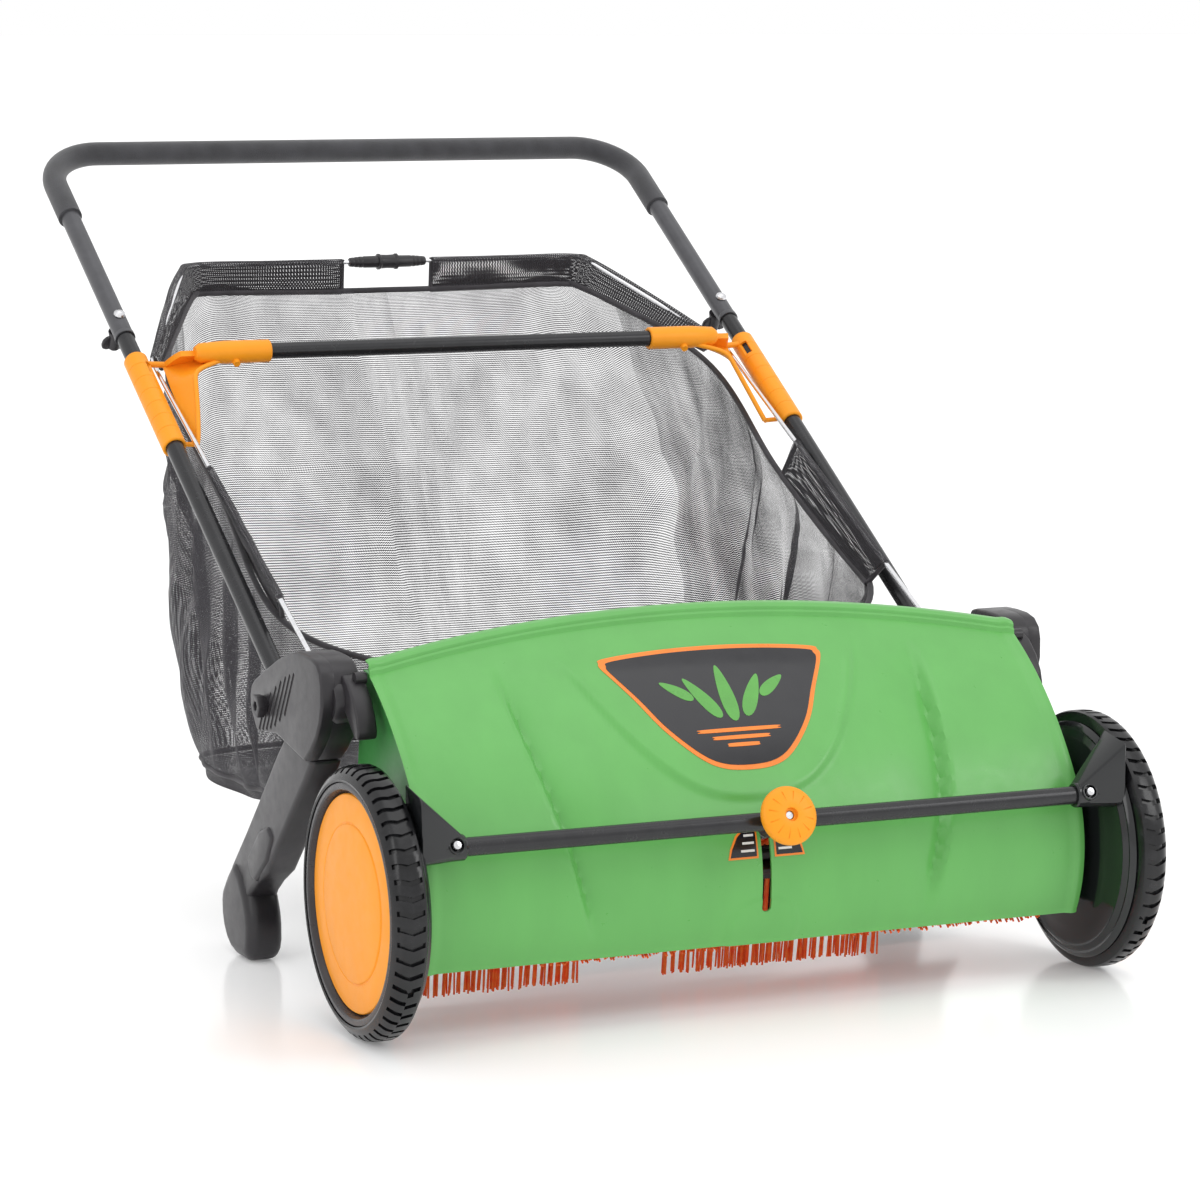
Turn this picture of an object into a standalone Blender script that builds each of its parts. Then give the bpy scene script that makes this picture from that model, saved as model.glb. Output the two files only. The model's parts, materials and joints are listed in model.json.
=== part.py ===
"""Push lawn sweeper: wheel-driven brush under a cover, folding handle and a mesh collection bag.

Metres, +X to the machine's side, +Y to the rear (handle and bag), +Z up. The origin is on the
ground, midway between the sides and midway between the front of the wheels and the grip.
"""

import math

import bmesh
import bpy
from mathutils import Vector

# ---------------------------------------------------------------- driving dimensions
GAP = 0.0004                # clearance between pieces that touch or turn
SIDES = (("left", -1), ("right", 1))

WHEEL_RADIUS = 0.127
TYRE_WIDTH = 0.033
TYRE_DEPTH = 0.0152         # radial height of the tyre over the rim
RIM_WALL = 0.009            # rim between the tyre's seat and the ring gear
CAP_LIP = 0.0103            # rim that shows between the tyre's seat and the hub cap
DISH_DEPTH = 0.017          # the wheel cover's hub stands this far in from the tyre
WHEEL_STEPS = 40

RING_TEETH = 54
PINION_TEETH = 9
RING_BAND = 0.0065          # ring gear outside its pitch circle
GEAR_WIDTH = 0.010
TOOTH_TIP_WIDTH = 0.0028
TOOTH_ROOT_WIDTH = 0.0052

BRUSH_GROUND_GAP = 0.0065
BRUSH_ROWS = 6
BRUSH_END_GAP = 0.008       # brush rows to the end panels
BRUSH_LEAN = 7.0            # degrees past straight down of the lowest row
CORE_RADIUS = 0.018
SHAFT_RADIUS = 0.006
ROW_THICKNESS = 0.008

COVER_HALF = 0.343
COVER_BRUSH_GAP = 0.0165    # outside of the cover's round front to the brush tips
COVER_WALL = 0.003
COVER_LOW = -27.0           # degrees above the forward direction, round the brush shaft
COVER_TURN = 31.0           # where the round front ends and the flatter top begins
COVER_TOP_RADIUS = 0.36
COVER_TOP_SLOPE = 31.0      # degrees, slope of the cover under its top lip
COVER_BOW = 0.032           # rise of the top edge in the middle
LIP_HEIGHT = 0.011
PANEL_WALL = 0.0045
PANEL_SET_IN = 0.0085       # end panel's outer face, in from the cover's edge

SLOT_WIDTH = 0.0095
HEIGHT_DOWN = 30.0          # degrees that the height rod can travel down from rest
HEIGHT_UP = 1.5
ROD_RADIUS = 0.00875
ROD_SET_IN = 0.011          # ends of the height rod, in from the cover's edge
ROD_STANDOFF = 0.0337       # middle of the height rod to the outside of the cover
SOCKET_GRIP = 0.00345       # plastic of the wheel cover's socket round the height rod
ROD_ANGLE = 20.9            # degrees above the forward direction
KNOB_RADIUS = 0.028
KNOB_DEPTH = 0.0185
CLAMP_BOLT_RADIUS = 0.0035

LOWER_TUBE_RADIUS = 0.0095
LOWER_TUBE_WALL = 0.001
TUBE_WALL = 0.0007          # of the upper handle
TUBE_SLIP = 0.0003          # lower tube inside the upper one
HANDLE_ANGLE = 32.0         # degrees above the horizontal
PIVOT_BEHIND = 0.262        # handle pivot, behind and above the wheel axle
PIVOT_ABOVE = 0.144
PIVOT_BOLT_RADIUS = 0.0035
TUBE_TAIL = 0.022           # lower tube past the pivot
SLEEVE_LOW = 0.410          # distances along the handle from its pivot
CROSS_ALONG = 0.532
SLEEVE_HIGH = 0.564
COLLAR_ALONG = 0.603
BOLT_ALONG = 0.632
GRIP_ALONG = 0.830
BAR_ALONG = 0.956
BEND_RADIUS = 0.065
GRIP_WALL = 0.0028
CROSS_ABOVE = 0.030         # cross bar over the plane of the tubes
CROSS_RADIUS = 0.00875
CROSS_SOCKET_WALL = 0.00325
CROSS_SOCKET_REACH = 0.1355 # inner end of the cross bar's sockets, in from the tubes
SLEEVE_WALL = 0.0033
HANDLE_BOLT_RADIUS = 0.003

BRACKET_GAP = 0.002         # side bracket beside the cover's edge
TUBE_GAP = 0.003            # tube to the bracket's inner plane
CHEEK_GAP = 0.0015
CHEEK_WALL = 0.0165         # of the side bracket, outside the tube
LEG_UNDER = 0.001           # leg, in under the cover's edge
LEG_WIDTH = 0.038
STRETCHER_RADIUS = 0.009

BAG_ROD_RADIUS = 0.0025
BAG_ROD_INSIDE = 0.0205     # bag rods, in from the handle tubes
BAG_ANGLE = 27.2            # degrees, slope of the bag frame
BAG_BEND_ALONG = 0.600      # distances along the bag frame from its lower ends
BAG_TOP_ALONG = 0.795
BAG_CORNER_IN = 0.092       # top corners of the bag frame, in from its sides
CLASP_HALF = 0.046
BAG_WALL = 0.0025

# ---------------------------------------------------------------- places that follow
SIDEWAYS = (math.pi / 2, 0.0, math.pi / 2)      # local x, y, z become world Y, Z, X


def degrees_point(centre, radius, angle):
    """A (y, z) point round centre; the angle is measured up from straight ahead (-Y)."""
    a = math.radians(angle)
    return centre[0] - radius * math.cos(a), centre[1] + radius * math.sin(a)


PANEL_OUTER_X = COVER_HALF - PANEL_SET_IN
PANEL_INNER_X = PANEL_OUTER_X - PANEL_WALL
BRUSH_HALF = PANEL_INNER_X - BRUSH_END_GAP
ROD_HALF = COVER_HALF - ROD_SET_IN
BRACKET_INNER_X = COVER_HALF + BRACKET_GAP
TUBE_X = BRACKET_INNER_X + TUBE_GAP + LOWER_TUBE_RADIUS
CHEEK_X = TUBE_X + LOWER_TUBE_RADIUS + CHEEK_GAP
BRACKET_OUTER_X = CHEEK_X + CHEEK_WALL
LEG_INNER_X = COVER_HALF - LEG_UNDER
WHEEL_INNER_X = COVER_HALF + 0.007 + DISH_DEPTH
WHEEL_OUTER_X = WHEEL_INNER_X + TYRE_WIDTH
SOCKET_X = TUBE_X - CROSS_SOCKET_REACH
BAG_ROD_X = TUBE_X - BAG_ROD_INSIDE
BAG_CORNER_X = BAG_ROD_X - BAG_CORNER_IN

SEAT_RADIUS = WHEEL_RADIUS - TYRE_DEPTH
CAP_RADIUS = SEAT_RADIUS - CAP_LIP
RIM_BORE = SEAT_RADIUS - RIM_WALL
RING_OUTER = RIM_BORE - 0.0003
RING_PITCH = RING_OUTER - RING_BAND
PINION_PITCH = RING_PITCH * PINION_TEETH / RING_TEETH
BRUSH_RADIUS = WHEEL_RADIUS - BRUSH_GROUND_GAP
COVER_RADIUS = BRUSH_RADIUS + COVER_BRUSH_GAP   # round the brush shaft
ROD_DISTANCE = COVER_RADIUS + ROD_STANDOFF      # height rod from the brush shaft
UPPER_TUBE_RADIUS = LOWER_TUBE_RADIUS + TUBE_SLIP + TUBE_WALL
GRIP_RADIUS = UPPER_TUBE_RADIUS + GRIP_WALL
SLEEVE_RADIUS = LOWER_TUBE_RADIUS + SLEEVE_WALL
CROSS_SOCKET_RADIUS = CROSS_RADIUS + CROSS_SOCKET_WALL

HANDLE_ANGLE_RADIANS = math.radians(HANDLE_ANGLE)
HANDLE_DIRECTION = Vector((0.0, math.cos(HANDLE_ANGLE_RADIANS), math.sin(HANDLE_ANGLE_RADIANS)))
HANDLE_NORMAL = Vector((0.0, -HANDLE_DIRECTION.z, HANDLE_DIRECTION.y))
REAR_REACH = PIVOT_BEHIND + BAR_ALONG * HANDLE_DIRECTION.y + GRIP_RADIUS
AXLE = ((WHEEL_RADIUS - REAR_REACH) / 2, WHEEL_RADIUS)
BRUSH = (AXLE[0] + RING_PITCH - PINION_PITCH, AXLE[1])
PIVOT = (AXLE[0] + PIVOT_BEHIND, AXLE[1] + PIVOT_ABOVE)
ROD = degrees_point(BRUSH, ROD_DISTANCE, ROD_ANGLE)
ROD_OUTWARD = Vector((0.0, -math.cos(math.radians(ROD_ANGLE)), math.sin(math.radians(ROD_ANGLE))))
BAG_DIRECTION = Vector((0.0, math.cos(math.radians(BAG_ANGLE)), math.sin(math.radians(BAG_ANGLE))))
BAG_NORMAL = Vector((0.0, -BAG_DIRECTION.z, BAG_DIRECTION.y))
BAG_LOW = (PIVOT[0] - 0.047, PIVOT[1] + 0.0225)


def axle_frame(points):
    """(y, z) points given from the wheel axle, in world coordinates."""
    return [(AXLE[0] + y, AXLE[1] + z) for y, z in points]


def mirrored_box(sign, low, high):
    """A box between two corners on the right side, or its mirror image on the left."""
    if sign < 0:
        low, high = (-high[0], *low[1:]), (-low[0], *high[1:])
    return box(low, high)


def on_handle(x, along, above=0.0):
    return Vector((x, *PIVOT)) + along * HANDLE_DIRECTION + above * HANDLE_NORMAL


def on_bag_frame(x, along, above=0.0):
    return Vector((x, *BAG_LOW)) + along * BAG_DIRECTION + above * BAG_NORMAL


# ---------------------------------------------------------------- scene, materials, helpers
def clear_scene():
    for item in list(bpy.data.objects):
        bpy.data.objects.remove(item, do_unlink=True)


def collection(name):
    made = bpy.data.collections.new(name)
    bpy.context.scene.collection.children.link(made)
    return made


def material(name, colour, roughness, metallic=0.0):
    made = bpy.data.materials.new(name)
    made.use_nodes = True
    shader = made.node_tree.nodes["Principled BSDF"]
    shader.inputs["Base Color"].default_value = (*colour, 1.0)
    shader.inputs["Roughness"].default_value = roughness
    shader.inputs["Metallic"].default_value = metallic
    return made


clear_scene()
PARTS = collection("lawn_sweeper")
CUTTERS = collection("cutters")
FINISH = {
    "green": ((0.10, 0.45, 0.10), 0.35, 0.0),
    "orange": ((0.85, 0.27, 0.02), 0.45, 0.0),
    "black": ((0.02, 0.02, 0.022), 0.40, 0.0),
    "tyre": ((0.015, 0.015, 0.016), 0.45, 0.0),
    "foam": ((0.035, 0.035, 0.04), 0.8, 0.0),
    "tube": ((0.03, 0.03, 0.035), 0.35, 0.4),
    "steel": ((0.75, 0.75, 0.76), 0.25, 1.0),
    "bristle": ((0.80, 0.08, 0.02), 0.5, 0.0),
    "mesh": ((0.03, 0.03, 0.03), 0.85, 0.0),
}


def place(obj, name, finish):
    """Name a mesh object, give it its own material and put it with the parts."""
    obj.name = name
    obj.data.name = name
    obj.data.materials.clear()
    obj.data.materials.append(material(name, *FINISH[finish]))
    PARTS.objects.link(obj)
    return obj


def from_bmesh(bm, origin=(0, 0, 0), rotation=(0, 0, 0)):
    mesh = bpy.data.meshes.new("shape")
    bm.to_mesh(mesh)
    bm.free()
    obj = bpy.data.objects.new("shape", mesh)
    obj.location = origin
    obj.rotation_euler = rotation
    return obj


def smooth(obj, angle=35.0):
    obj.data.shade_smooth()
    obj.data.set_sharp_from_angle(angle=math.radians(angle))
    return obj


def turned(outline, origin, rotation=SIDEWAYS, steps=24):
    """Turn a closed (axial, radial) outline round the local Z axis."""
    area = sum(a[1] * b[0] - b[1] * a[0] for a, b in zip(outline, outline[1:] + outline[:1]))
    if area > 0:
        outline = outline[::-1]
    bm = bmesh.new()
    points = [bm.verts.new((radial, 0.0, axial)) for axial, radial in outline]
    for a, b in zip(points, points[1:]):
        bm.edges.new((a, b))
    if min(radial for _, radial in outline) > 0:
        bm.edges.new((points[-1], points[0]))
    obj = from_bmesh(bm, origin, rotation)
    screw = obj.modifiers.new("turn", "SCREW")
    screw.axis = "Z"
    screw.steps = screw.render_steps = steps
    screw.use_merge_vertices = True
    screw.merge_threshold = 0.00001
    screw.use_smooth_shade = True
    return obj


def cylinder(start, end, radius, sides=16):
    """A solid round bar from start to end."""
    start, end = Vector(start), Vector(end)
    bm = bmesh.new()
    bmesh.ops.create_cone(bm, cap_ends=True, segments=sides, radius1=radius, radius2=radius,
                          depth=(end - start).length)
    turn = (end - start).to_track_quat("Z", "Y").to_euler()
    return from_bmesh(bm, (start + end) / 2, turn)


def box(low, high):
    bm = bmesh.new()
    bmesh.ops.create_cube(bm, size=1.0)
    size = Vector(high) - Vector(low)
    bmesh.ops.scale(bm, vec=size, verts=bm.verts)
    return from_bmesh(bm, (Vector(high) + Vector(low)) / 2)


def hull(points, origin=(0, 0, 0)):
    """The convex solid round a set of world points, such as a loft between two sections."""
    bm = bmesh.new()
    for point in points:
        bm.verts.new(Vector(point) - Vector(origin))
    made = bmesh.ops.convex_hull(bm, input=bm.verts)
    loose = [v for v in made["geom_interior"] if isinstance(v, bmesh.types.BMVert)]
    bmesh.ops.delete(bm, geom=loose, context="VERTS")
    bmesh.ops.recalc_face_normals(bm, faces=bm.faces)
    return from_bmesh(bm, origin)


def from_curve(curve, origin, rotation=(0, 0, 0)):
    """Turn a curve into a closed mesh object and remove the curve."""
    guide = bpy.data.objects.new("guide", curve)
    guide.location = origin
    guide.rotation_euler = rotation
    CUTTERS.objects.link(guide)
    bpy.context.view_layer.update()
    evaluated = guide.evaluated_get(bpy.context.evaluated_depsgraph_get())
    mesh = bpy.data.meshes.new_from_object(evaluated)
    bm = bmesh.new()
    bm.from_mesh(mesh)
    bmesh.ops.remove_doubles(bm, verts=bm.verts, dist=0.00001)
    bm.to_mesh(mesh)
    bm.free()
    obj = bpy.data.objects.new("shape", mesh)
    obj.matrix_world = guide.matrix_world
    bpy.data.objects.remove(guide, do_unlink=True)
    return obj


def slab(outlines, x_low, x_high, centre=(0.0, 0.0)):
    """A flat piece that lies across X, from closed (y, z) outlines; the later ones are holes."""
    curve = bpy.data.curves.new("outline", "CURVE")
    curve.dimensions = "2D"
    curve.fill_mode = "BOTH"
    curve.extrude = (x_high - x_low) / 2
    for outline in outlines:
        spline = curve.splines.new("POLY")
        spline.points.add(len(outline) - 1)
        for point, (y, z) in zip(spline.points, outline):
            point.co = (y - centre[0], z - centre[1], 0.0, 1.0)
        spline.use_cyclic_u = True
    return from_curve(curve, ((x_low + x_high) / 2, *centre), SIDEWAYS)


def ring_points(centre, radius, count=24):
    return [degrees_point(centre, radius, 360.0 * i / count) for i in range(count)]


def pipe(points, radius, wall=None, resolution=4, origin=(0, 0, 0)):
    """A bar bent along points, or with a wall, a tube open at both ends."""
    curve = bpy.data.curves.new("route", "CURVE")
    curve.dimensions = "3D"
    curve.bevel_depth = radius
    curve.bevel_resolution = resolution
    curve.use_fill_caps = wall is None
    spline = curve.splines.new("POLY")
    spline.points.add(len(points) - 1)
    for point, co in zip(spline.points, points):
        point.co = (*(Vector(co) - Vector(origin)), 1.0)
    obj = from_curve(curve, origin)
    if wall:
        solidify = obj.modifiers.new("wall", "SOLIDIFY")
        solidify.thickness = wall
        solidify.offset = -1.0
    return obj


def combine(target, tool, operation):
    """Cut or join target with tool, which then stays hidden among the cutters."""
    tool.hide_render = True
    tool.display_type = "WIRE"
    CUTTERS.objects.link(tool)
    boolean = target.modifiers.new(operation.lower(), "BOOLEAN")
    boolean.operation = operation
    boolean.object = tool
    return target


def cut(target, *tools):
    for tool in tools:
        combine(target, tool, "DIFFERENCE")
    return target


def join(target, *tools):
    for tool in tools:
        combine(target, tool, "UNION")
    return target


def tooth_outline(centre, teeth, tip, root, start):
    """A gear's outline: each tooth is a trapezium between the tip and the root radius."""
    outline = []
    for k in range(teeth):
        middle = start + 2 * math.pi * k / teeth
        for radius, width in ((root, -TOOTH_ROOT_WIDTH), (tip, -TOOTH_TIP_WIDTH),
                              (tip, TOOTH_TIP_WIDTH), (root, TOOTH_ROOT_WIDTH)):
            a = middle + width / radius / 2
            outline.append((centre[0] + radius * math.cos(a), centre[1] + radius * math.sin(a)))
    return outline


# ---------------------------------------------------------------- housing
def cover_profile():
    """The cover's outside in (y, z), from its low front edge over the top; with its share of bow."""
    profile = []
    low_steps, top_steps = 7, 6
    for i in range(low_steps + 1):
        angle = COVER_LOW + (COVER_TURN - COVER_LOW) * i / low_steps
        profile.append((*degrees_point(BRUSH, COVER_RADIUS, angle), 0.0))
    y, z, _ = profile[-1]
    start = math.radians(90.0 - COVER_TURN)
    end = math.radians(COVER_TOP_SLOPE)
    for i in range(1, top_steps + 1):
        heading = start + (end - start) * i / top_steps
        share = (i / top_steps) ** 2
        profile.append((y + COVER_TOP_RADIUS * (math.sin(start) - math.sin(heading)),
                        z + COVER_TOP_RADIUS * (math.cos(heading) - math.cos(start)), share))
    y, z, _ = profile[-1]
    profile.append((y + 0.002, z + LIP_HEIGHT, 1.0))
    profile.append((y + 0.012, z + LIP_HEIGHT + 0.003, 1.0))
    return profile


def front_cover():
    bm = bmesh.new()
    columns = 12
    rows = []
    for y, z, share in cover_profile():
        row = []
        for i in range(columns + 1):
            across = 2.0 * i / columns - 1.0
            rise = COVER_BOW * share * (1.0 - across * across)
            row.append(bm.verts.new((COVER_HALF * across, y + rise * 0.9, z + rise)))
        rows.append(row)
    for low, high in zip(rows, rows[1:]):
        for i in range(columns):
            bm.faces.new((low[i], low[i + 1], high[i + 1], high[i]))
    cover = from_bmesh(bm)
    solidify = cover.modifiers.new("wall", "SOLIDIFY")
    solidify.thickness = COVER_WALL
    solidify.offset = -1.0
    low, high = ROD_ANGLE - HEIGHT_DOWN - 2.5, ROD_ANGLE + HEIGHT_UP + 2.5
    steps = 6
    sweep = [low + (high - low) * i / steps for i in range(steps + 1)]
    slot = [degrees_point(BRUSH, COVER_RADIUS + 0.02, a) for a in sweep]
    slot += [degrees_point(BRUSH, COVER_RADIUS - 0.02, a) for a in reversed(sweep)]
    cut(cover, slab([slot], -SLOT_WIDTH / 2, SLOT_WIDTH / 2))
    place(smooth(cover), "front_cover", "green")


def end_panels():
    inside = COVER_WALL + GAP * 2
    front = []
    profile = cover_profile()[:-2]
    for i, (y, z, _) in enumerate(profile):
        before, after = profile[max(i - 1, 0)], profile[min(i + 1, len(profile) - 1)]
        along = Vector((after[0] - before[0], after[1] - before[1])).normalized()
        front.append((y + along.y * inside, z - along.x * inside))
    top_y, top_z, _ = profile[-1]
    rear = [(top_y + 0.0392, top_z + 0.0012)]
    rear += [(BRUSH[0] + y, BRUSH[1] + z) for y, z in ((0.058, 0.123), (0.070, 0.033), (0.060, -0.047),
                                                       (0.020, -0.061))]
    bush_radius, flange = SHAFT_RADIUS + 0.0041, SHAFT_RADIUS + 0.008
    hole = ring_points(BRUSH, bush_radius + GAP)
    for side, sign in SIDES:
        low, high = sorted((sign * PANEL_INNER_X, sign * PANEL_OUTER_X))
        panel = slab([front + rear, hole], low, high)
        place(smooth(panel), f"{side}_end_panel", "green")
        bush = [(PANEL_INNER_X - 0.0035, SHAFT_RADIUS + GAP), (PANEL_INNER_X - 0.0035, flange),
                (PANEL_INNER_X - GAP, flange), (PANEL_INNER_X - GAP, bush_radius),
                (COVER_HALF, bush_radius), (COVER_HALF, SHAFT_RADIUS + GAP)]
        bush = [(sign * x, r) for x, r in bush]
        place(turned(bush, (0, *BRUSH), steps=20), f"{side}_brush_bush", "black")


def side_brackets():
    body = axle_frame([(0.103, 0.173), (0.106, 0.199), (0.125, 0.209), (0.170, 0.2096), (0.225, 0.195),
                       (0.300, 0.163), (0.306, 0.141), (0.286, 0.116), (0.229, 0.1210), (0.152, 0.1065),
                       (0.118, 0.135)])
    foot_sole = [(AXLE[0] + y, z) for y, z in ((0.420, 0.060), (0.418, 0.034), (0.396, 0.010), (0.376, 0.0),
                                               (0.334, 0.0), (0.328, 0.012), (0.333, 0.065))]
    leg = axle_frame([(0.152, 0.1058), (0.2285, 0.1202), (0.315, 0.036), (0.405, -0.049)])
    leg += foot_sole + axle_frame([(0.288, -0.027), (0.200, 0.058)])
    stretcher_y, stretcher_z = axle_frame([(0.245, 0.048)])[0]
    for side, sign in SIDES:
        bracket = slab([body], *sorted((sign * BRACKET_INNER_X, sign * BRACKET_OUTER_X)))
        lug = mirrored_box(sign, (COVER_HALF + 0.001, AXLE[0] + 0.062, AXLE[1] + 0.138),
                           (COVER_HALF + 0.015, AXLE[0] + 0.120, AXLE[1] + 0.199))
        join(bracket, lug)
        tube_room = mirrored_box(sign, (BRACKET_INNER_X - 0.015, PIVOT[0] - 0.034, PIVOT[1] - 0.071),
                                 (CHEEK_X, PIVOT[0] + 0.06, PIVOT[1] + 0.079))
        cut(bracket, tube_room, cylinder((sign * TUBE_X, *PIVOT), (sign * (BRACKET_OUTER_X + 0.015), *PIVOT),
                                         PIVOT_BOLT_RADIUS + GAP))
        place(smooth(bracket), f"{side}_side_bracket", "black")
        foot = slab([leg], *sorted((sign * LEG_INNER_X, sign * (LEG_INNER_X + LEG_WIDTH))))
        place(smooth(foot), f"{side}_leg", "black")
    half = LEG_INNER_X - GAP
    stretcher = pipe([(-half, stretcher_y, stretcher_z), (half, stretcher_y, stretcher_z)],
                     STRETCHER_RADIUS, wall=0.0012)
    place(smooth(stretcher), "rear_stretcher", "tube")


def rear_ramp():
    """The curved sheet behind the brush that throws the sweepings up into the bag."""
    radius, wall, steps = BRUSH_RADIUS + 0.0085, 0.002, 8
    angles = [180.0 + 52.0 - 58.0 * i / steps for i in range(steps + 1)]
    outline = [degrees_point(BRUSH, radius, a) for a in angles]
    tail = outline[-1]
    outline += [(tail[0] + 0.030, tail[1] + 0.006), (tail[0] + 0.030, tail[1] + 0.006 - wall)]
    outline += [degrees_point(BRUSH, radius + wall, a) for a in reversed(angles)]
    half = PANEL_INNER_X - 0.004
    place(smooth(slab([outline], -half, half)), "rear_ramp", "black")


# ---------------------------------------------------------------- height adjuster
def wheel_covers():
    face, back = WHEEL_INNER_X, WHEEL_INNER_X - DISH_DEPTH
    edge = WHEEL_RADIUS - 0.0105
    bore = SHAFT_RADIUS + GAP
    dish = [(back, bore), (back, bore + 0.0076), (back + 0.0025, 0.016), (back + 0.0025, 0.055),
            (face - 0.010, edge - 0.0215), (face - 0.0045, edge - 0.0035), (face - 0.001, edge),
            (face - 0.0005, edge - 0.003), (face - 0.0015, edge - 0.0055), (face - 0.007, edge - 0.0225),
            (back + 0.0055, 0.054), (back + 0.0055, 0.018), (face - 0.005, bore + 0.0076), (face - 0.005, bore)]
    grip = ROD_RADIUS + SOCKET_GRIP
    for side, sign in SIDES:
        outline = [(sign * x, r) for x, r in dish]
        cover = turned(outline, (0, *AXLE), steps=WHEEL_STEPS)
        apex = [(sign * x, ROD[0] + y, ROD[1] + z) for x in (ROD_HALF - 0.0155, ROD_HALF + 0.006)
                for y in (-grip, grip) for z in (-grip, grip)]
        base = [(sign * (face - 0.0025), *corner) for corner in
                axle_frame([(-0.100, 0.043), (-0.055, 0.038), (-0.055, 0.095), (-0.100, 0.099)])]
        join(cover, hull(apex + base, (0, *AXLE)))
        screw_x = sign * (ROD_HALF - 0.004)
        centre = Vector((screw_x, *ROD))
        socket = cylinder((sign * (ROD_HALF - 0.032), *ROD), (sign * (ROD_HALF + 0.001), *ROD), ROD_RADIUS + GAP)
        cut(cover, socket,
            cylinder((sign * (back - 0.01), *BRUSH), (sign * (face + 0.013), *BRUSH), SHAFT_RADIUS + 0.0008),
            cylinder(centre, centre + ROD_OUTWARD * 0.03, 0.0024),
            cylinder(centre + ROD_OUTWARD * grip, centre + ROD_OUTWARD * 0.04, 0.0062))
        place(cover, f"{side}_wheel_cover", "black")
        head = grip + GAP
        top = ROD_OUTWARD.to_track_quat("Z", "Y").to_euler()
        screw = turned([(ROD_RADIUS + 0.001, 0.0), (ROD_RADIUS + 0.001, 0.002), (head, 0.002),
                        (head, 0.0046), (head + 0.002, 0.0038), (head + 0.0026, 0.0)],
                       centre, top, steps=12)
        place(screw, f"{side}_rod_screw", "steel")
        axle = cylinder((sign * back, *AXLE), (sign * (face + 0.0205), *AXLE), SHAFT_RADIUS)
        place(smooth(axle), f"{side}_axle", "steel")


def height_rod():
    rod = pipe([(-ROD_HALF, *ROD), (ROD_HALF, *ROD)], ROD_RADIUS, wall=0.001)
    reach = ROD_OUTWARD * 0.02
    centre = Vector((0, *ROD))
    cut(rod, cylinder(centre - reach, centre + reach, CLAMP_BOLT_RADIUS + GAP))
    place(smooth(rod), "height_rod", "tube")
    origin = Vector((0, *BRUSH))
    turn = ROD_OUTWARD.to_track_quat("Z", "Y").to_euler()
    inner = COVER_RADIUS - COVER_WALL
    knob_low = ROD_DISTANCE + ROD_RADIUS + 0.0015
    tip = knob_low + KNOB_DEPTH - 0.004
    bolt = [(inner - 0.0070, 0.0), (inner - 0.0070, 0.009), (inner - 0.0045, 0.0105),
            (inner - 0.0008, 0.0105), (inner - 0.0008, CLAMP_BOLT_RADIUS), (tip, CLAMP_BOLT_RADIUS), (tip, 0.0)]
    place(turned(bolt, origin, turn, steps=16), "clamp_bolt", "steel")
    low, high = COVER_RADIUS + 0.0095, ROD_DISTANCE - ROD_RADIUS - 0.0006
    bore = CLAMP_BOLT_RADIUS + GAP
    spacer = [(low, bore), (low, 0.012), (high, 0.009), (high, bore)]
    place(turned(spacer, origin, turn, steps=16), "clamp_spacer", "black")
    knob_high = knob_low + KNOB_DEPTH
    knob = [(knob_low, bore), (knob_low, 0.012), (knob_low + 0.005, KNOB_RADIUS - 0.002),
            (knob_low + 0.008, KNOB_RADIUS), (knob_high - 0.0045, KNOB_RADIUS),
            (knob_high - 0.0015, KNOB_RADIUS - 0.004), (knob_high, 0.012), (knob_high, 0.007),
            (knob_high - 0.005, 0.006), (knob_high - 0.005, bore)]
    place(turned(knob, origin, turn, steps=24), "height_knob", "orange")


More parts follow.
